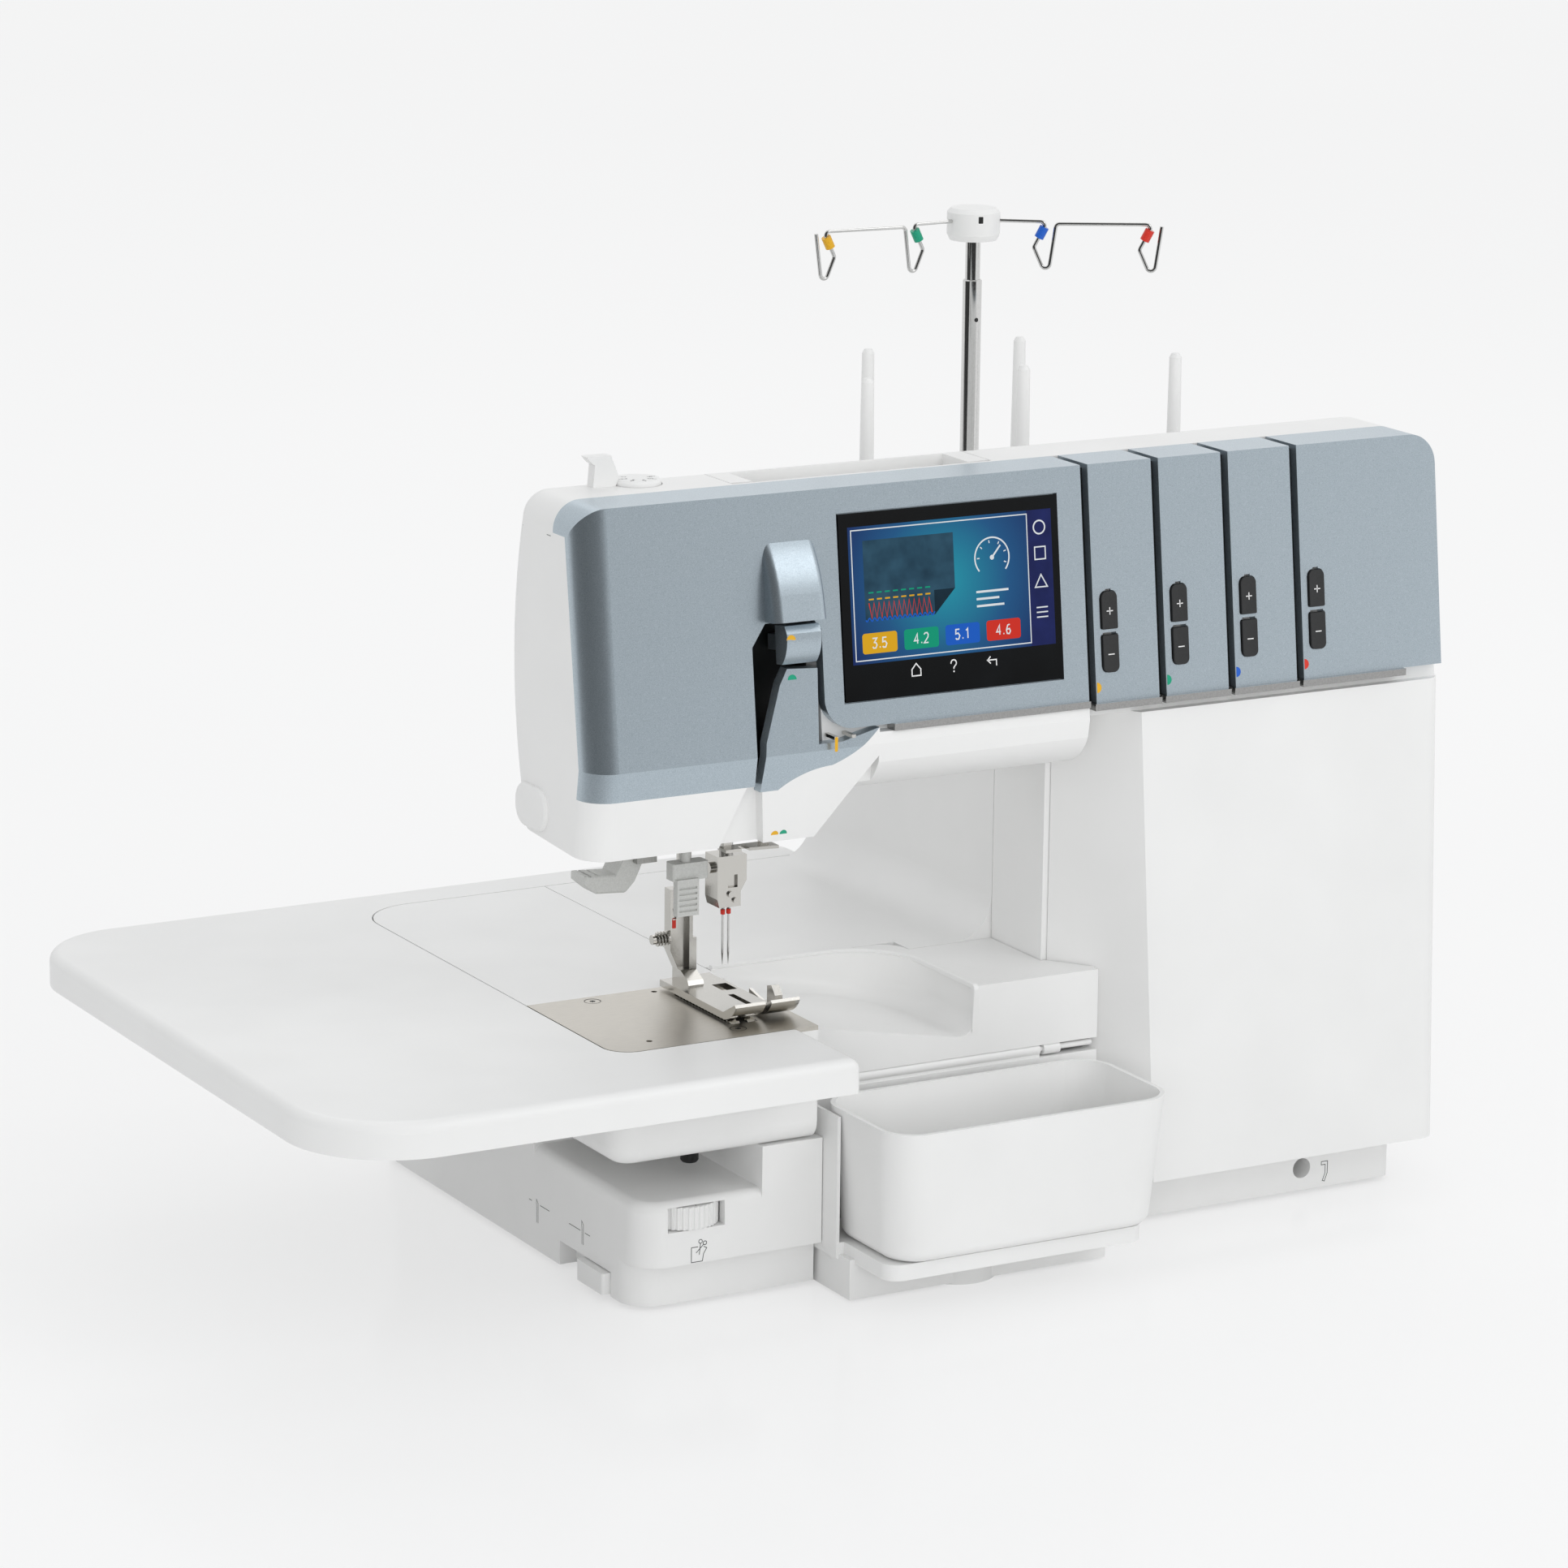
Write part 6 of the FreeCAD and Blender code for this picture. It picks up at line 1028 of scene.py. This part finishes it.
class OVERLOCK_OT_fittings(bpy.types.Operator):
    """Small fittings: stud below the free arm, painted shade of the mast's catch and notch, chute lip, and painted
    shade of the side seam
    """

    bl_idname = "overlock.fittings"
    bl_label = "Fittings"
    bl_options = {"REGISTER", "UNDO"}

    # Stud from the left and front edge of the free arm.
    stud_left, stud_front, stud_radius, stud_tip, stud_length = 59.0, 40.5, 4.2, 3.4, 15.0
    # Catch of the mast: a little left of the tube's middle, and its drop from the tube's top.
    catch_left, catch_drop, catch_radius = 0.1, 20.0, 1.1
    # The notch of the mast's head looks towards the front left.
    notch_way = (-0.257, -0.967)
    notch_half, notch_low, notch_high, notch_corner = 1.2, 6.4, 3.0, 0.4
    # Lip of the chute: its inner wall and back from the cover's right and back edge, and its bend.
    lip_wall, lip_back, lip_bend = 68.0, 2.6, 34.0
    # Its start from the cover's left edge, and the small round over which it turns down the front.
    lip_start, lip_edge, lip_edge_points = 1.0, 1.5, 7
    # Lip's section: middle and half size across and upwards, and how square it is.
    lip_middle, lip_half, lip_power = (0.8, 0.1), (1.4, 1.3), 0.45
    # Lip's lower end: drops from the deck, and the shares of its height that are left there.
    lip_drops, lip_shares = (12.0, 22.0), (0.4, 0.1)
    # Side seam: its ends from the casing's front, and its drop from the casing's top.
    seam_back, seam_front, seam_drop, seam_width = 69.5, 41.5, 29.8, 0.4

    def execute(self, context):
        self.stud()
        self.mast_marks()
        self.chute_lip()
        self.side_seam()
        return {"FINISHED"}

    def stud(self):
        """Dark stud that hangs below the free arm, turned with a small chamfer."""
        left, front, top = box_of("free_arm")[0]
        low, chamfer, sunk = top - self.stud_length, 1.0, 0.2
        wall = [(self.stud_radius, low + chamfer), (self.stud_radius, top + sunk)]
        place = left + self.stud_left, front + self.stud_front
        turned("lever_stud", [(0, low), (self.stud_tip, low), *wall], place, "recess", "machine")

    def mast_marks(self):
        """Painted shade of the round catch in the mast's tube and of the notch in its head: dark marks laid on
        their surfaces.
        """
        low, high = box_of("mast_tube")
        x = (low[0] + high[0]) / 2 - self.catch_left
        catch = Drawing(Sheet("mast_tube", RIGHTWARDS, UPWARDS))
        catch.disc(x, high[2] - self.catch_drop, self.catch_radius).make("mast_catch", "recess")
        low, high = box_of("mast_cap")
        toward = np.array(self.notch_way) / np.linalg.norm(self.notch_way)
        across = np.array([-toward[1], toward[0], 0])
        place = (low + high) / 2 @ across
        notch = Drawing(Sheet("mast_cap", across, UPWARDS))
        notch.patch(place - self.notch_half, high[2] - self.notch_low,
                    place + self.notch_half, high[2] - self.notch_high, self.notch_corner)
        notch.make("mast_notch", "recess", "mast")

    def chute_lip(self):
        """Lip round the chute: a rounded section carried along its back edge, the bend and down the front.

        The section is a superellipse: a power of the cosine across and of the sine upwards, signs kept.
        """
        path, corner = self.lip_path()
        ahead = np.gradient(path, axis=0)
        ahead /= np.linalg.norm(ahead, axis=1, keepdims=True)
        # The deck lies to the left of the way along the edge, and to the right of the way down the front.
        side = np.stack([-ahead[:, 1], ahead[:, 0], np.zeros(len(path))], axis=1)
        side[corner:] = RIGHTWARDS
        side /= np.linalg.norm(side, axis=1, keepdims=True)
        up = np.cross(ahead, side)
        circle = on_circle(whole_turn(ROUND_SIDES))
        section = self.lip_middle + self.lip_half * np.sign(circle) * np.abs(circle) ** self.lip_power
        across, height = section.T
        # Towards its lower end the lip runs out into the front, clear of the bin when the cover opens.
        rise = np.ones((len(path), 1, 1))
        rise[-2:, 0, 0] = self.lip_shares
        points = path[:, None] + across[:, None] * side[:, None] + rise * height[:, None] * up[:, None]
        faces = grid_faces(len(path), ROUND_SIDES, True).tolist()
        first = list(range(ROUND_SIDES))
        last = list(range((len(path) - 1) * ROUND_SIDES, len(path) * ROUND_SIDES))
        put("chute_lip", points.reshape(-1, 3) * MM, faces + [first[::-1], last], "white_shell", "cover")

    def lip_path(self):
        """Points along the chute's edge, and the number of the one where the bend ends."""
        low, high = box_of("looper_cover")
        deck, front = high[2], low[1]
        wall, back = high[0] - self.lip_wall, high[1] - self.lip_back
        bend, edge = self.lip_bend, self.lip_edge
        turn = np.radians(np.linspace(90, 0, ROUND_SIDES + 1))
        arc = moved(bend * on_circle(turn), wall - bend, back - bend)
        arc = np.column_stack([arc, np.full(len(arc), deck)])
        fall = edge * on_circle(np.radians(np.linspace(0, 90, self.lip_edge_points)))
        over = np.column_stack([
            np.full(len(fall), wall), front + edge - fall[:, 1], deck - edge + fall[:, 0]])
        start = (low[0] + self.lip_start, back, deck)
        down = [(wall, front, deck - drop) for drop in self.lip_drops]
        return np.vstack([start, arc, over, down]), len(arc)

    def side_seam(self):
        """Painted shade of the seam between the side cover and the upper casing, on the left side: a grey line
        laid on the casing.
        """
        low, high = box_of("upper_casing")
        front, height = -low[1], high[2] - self.seam_drop
        side = Drawing(Sheet("upper_casing", FORWARDS, UPWARDS))
        side.line([(front - self.seam_back, height), (front - self.seam_front, height)], self.seam_width)
        side.make("side_seam", "seam")


def area_lamp(name, power, place, aim, size):
    """Soft rectangular lamp at a place, turned towards a point."""
    data = bpy.data.lights.new(name, "AREA")
    data.shape = "RECTANGLE"
    data.size, data.size_y = size
    data.energy = power
    lamp = bpy.data.objects.new(name, data)
    lamp.location = place
    lamp.rotation_mode = "QUATERNION"
    lamp.rotation_quaternion = (Vector(aim) - Vector(place)).to_track_quat("-Z", "Y")
    bpy.context.scene.collection.objects.link(lamp)
    return lamp


class OVERLOCK_OT_studio(bpy.types.Operator):
    """White table top, pale surroundings, soft lamps and the photograph's camera"""

    bl_idname = "overlock.studio"
    bl_label = "Studio"
    bl_options = {"REGISTER", "UNDO"}

    # Polished parts see a dark card on this side, as in a photographer's studio.
    dark_side = (-0.8, -0.6, 0.0)
    floor_half, floor_lines = 14, 15
    # Share of plain white in what the camera and mirrors see of the table.
    white_share = 0.56
    # Camera of the photograph, found from the machine's straight edges.
    lens, sensor = 129.03, 36
    camera_place = (-1.24853, -2.25247, 0.82969)
    camera_right = (0.87428805, -0.48527646, 0.01127645)
    camera_up = (0.10528494, 0.21225987, 0.971525)
    camera_back = (-0.47385175, -0.84820546, 0.23666858)

    def execute(self, context):
        looks = context.scene.overlock
        self.floor()
        self.world(looks.surround)
        area_lamp("key_lamp", looks.key_power, place=(1.5, -2.1, 2.2), aim=(0.05, 0, 0.2), size=(1.6, 1.4))
        area_lamp("rim_lamp", looks.rim_power, place=(1.1, 1.6, 2.4), aim=(0, 0, 0.15), size=(2.4, 1.4))
        fill = area_lamp(
            "fill_lamp", looks.fill_power, place=(-1.1, -3.1, 0.8), aim=(0, 0, 0.1), size=(2.8, 1.0))
        fill.visible_glossy = False
        self.camera()
        context.scene.view_settings.view_transform = "Standard"
        return {"FINISHED"}

    def floor(self):
        """Flat table top that runs on beyond the picture."""
        side = np.linspace(-self.floor_half, self.floor_half, self.floor_lines)
        x, y = np.meshgrid(side, side)
        points = np.stack([x, y, np.zeros_like(x)], axis=-1).reshape(-1, 3)
        mesh = bpy.data.meshes.new("studio_floor")
        mesh.from_pydata(points.tolist(), [], grid_faces(len(side), len(side)).tolist())
        mesh.materials.append(self.white_acrylic())
        floor = bpy.data.objects.new("studio_floor", mesh)
        bpy.context.scene.collection.objects.link(floor)

    def white_acrylic(self):
        """White acrylic table: a faint mirror image near the feet, and mostly plain white to the eye."""
        material, tree = new_material("white_acrylic_table")
        cloud = grain(tree, size_mm=900, detail=2.0)
        tone = add(tree, "ShaderNodeValToRGB", {"Fac": cloud}, [
            (NOISE_LOW, linear("#F4F4F4")), (NOISE_HIGH, linear("#F7F7F7"))])
        top = add(tree, "ShaderNodeBsdfPrincipled", {"Base Color": tone, "Roughness": 0.12, "IOR": 1.22})
        white = add(tree, "ShaderNodeEmission", {"Color": linear("#FFFFFF"), "Strength": 1.0})
        path = add(tree, "ShaderNodeLightPath").outputs
        seen = add(tree, "ShaderNodeMath", {0: path["Is Camera Ray"], 1: path["Is Glossy Ray"]},
                   operation="MAXIMUM")
        share = add(tree, "ShaderNodeMath", {0: seen, 1: self.white_share}, operation="MULTIPLY")
        lit = add(tree, "ShaderNodeMixShader", {0: share, 1: top, 2: white})
        place = add(tree, "ShaderNodeTexCoord").outputs["Object"]
        along = add(tree, "ShaderNodeVectorMath", {0: place, 1: self.dark_side}, operation="DOT_PRODUCT")
        card = add(tree, "ShaderNodeMapRange", {
            "Value": along.outputs["Value"], "From Min": 0.45, "From Max": 1.0})
        mirrored = add(tree, "ShaderNodeMath", {0: card, 1: path["Is Glossy Ray"]}, operation="MULTIPLY")
        black = add(tree, "ShaderNodeEmission", {"Color": grey(0.05), "Strength": 1.0})
        whole = add(tree, "ShaderNodeMixShader", {0: mirrored, 1: lit, 2: black})
        add(tree, "ShaderNodeOutputMaterial", {"Surface": whole})
        return material

    def world(self, strength):
        """Even pale light; polished parts see a white room that is dark on the left in front."""
        world = bpy.data.worlds.new("studio_world")
        world.use_nodes = True
        tree = world.node_tree
        tree.nodes.clear()
        way = add(tree, "ShaderNodeTexCoord").outputs["Generated"]
        along = add(tree, "ShaderNodeVectorMath", {0: way, 1: self.dark_side}, operation="DOT_PRODUCT")
        room = add(tree, "ShaderNodeValToRGB", {"Fac": along.outputs["Value"]}, [
            (0.1, grey(1.0)), (0.62, grey(0.07))])
        mirror = add(tree, "ShaderNodeBackground", {"Color": room, "Strength": 0.9})
        even = add(tree, "ShaderNodeBackground", {"Color": linear("#F6F7F8"), "Strength": strength})
        path = add(tree, "ShaderNodeLightPath").outputs
        mixed = add(tree, "ShaderNodeMixShader", {0: path["Is Glossy Ray"], 1: even, 2: mirror})
        add(tree, "ShaderNodeOutputWorld", {"Surface": mixed})
        bpy.context.scene.world = world

    def camera(self):
        """Camera of the photograph: its three directions are the columns of its turn."""
        data = bpy.data.cameras.new("photo_camera")
        data.sensor_width = self.sensor
        data.lens = self.lens
        data.clip_start, data.clip_end = 0.05, 60
        camera = bpy.data.objects.new("photo_camera", data)
        turn = Matrix((self.camera_right, self.camera_up, self.camera_back)).transposed().to_4x4()
        camera.matrix_world = Matrix.Translation(self.camera_place) @ turn
        bpy.context.scene.collection.objects.link(camera)
        bpy.context.scene.camera = camera


STEPS = (
    OVERLOCK_OT_finishes,
    OVERLOCK_OT_screen,
    OVERLOCK_OT_keys,
    OVERLOCK_OT_buttons,
    OVERLOCK_OT_thread_marks,
    OVERLOCK_OT_needle_area,
    OVERLOCK_OT_symbols,
    OVERLOCK_OT_fittings,
    OVERLOCK_OT_studio,
)


class OVERLOCK_PT_looks(bpy.types.Panel):
    """Sidebar panel with the colours, sizes and strengths, and the steps in order"""

    bl_label = "Overlock looks"
    bl_idname = "OVERLOCK_PT_looks"
    bl_space_type = "VIEW_3D"
    bl_region_type = "UI"
    bl_category = "Overlock"

    def draw(self, context):
        for name in OverlockLooks.__annotations__:
            self.layout.prop(context.scene.overlock, name)
        for step in STEPS:
            self.layout.operator(step.bl_idname)


def register():
    """Registers the classes and puts the properties on the scene."""
    for item in (OverlockLooks, *STEPS, OVERLOCK_PT_looks):
        bpy.utils.register_class(item)
    bpy.types.Scene.overlock = PointerProperty(type=OverlockLooks)


def unregister():
    """Takes the properties and classes away again."""
    del bpy.types.Scene.overlock
    for item in (OVERLOCK_PT_looks, *reversed(STEPS), OverlockLooks):
        bpy.utils.unregister_class(item)


def main():
    """Runs the steps in order."""
    register()
    bpy.ops.overlock.finishes()
    bpy.ops.overlock.screen()
    bpy.ops.overlock.keys()
    bpy.ops.overlock.buttons()
    bpy.ops.overlock.thread_marks()
    bpy.ops.overlock.needle_area()
    bpy.ops.overlock.symbols()
    bpy.ops.overlock.fittings()
    bpy.ops.overlock.studio()
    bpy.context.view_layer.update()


if __name__ == "__main__":
    main()
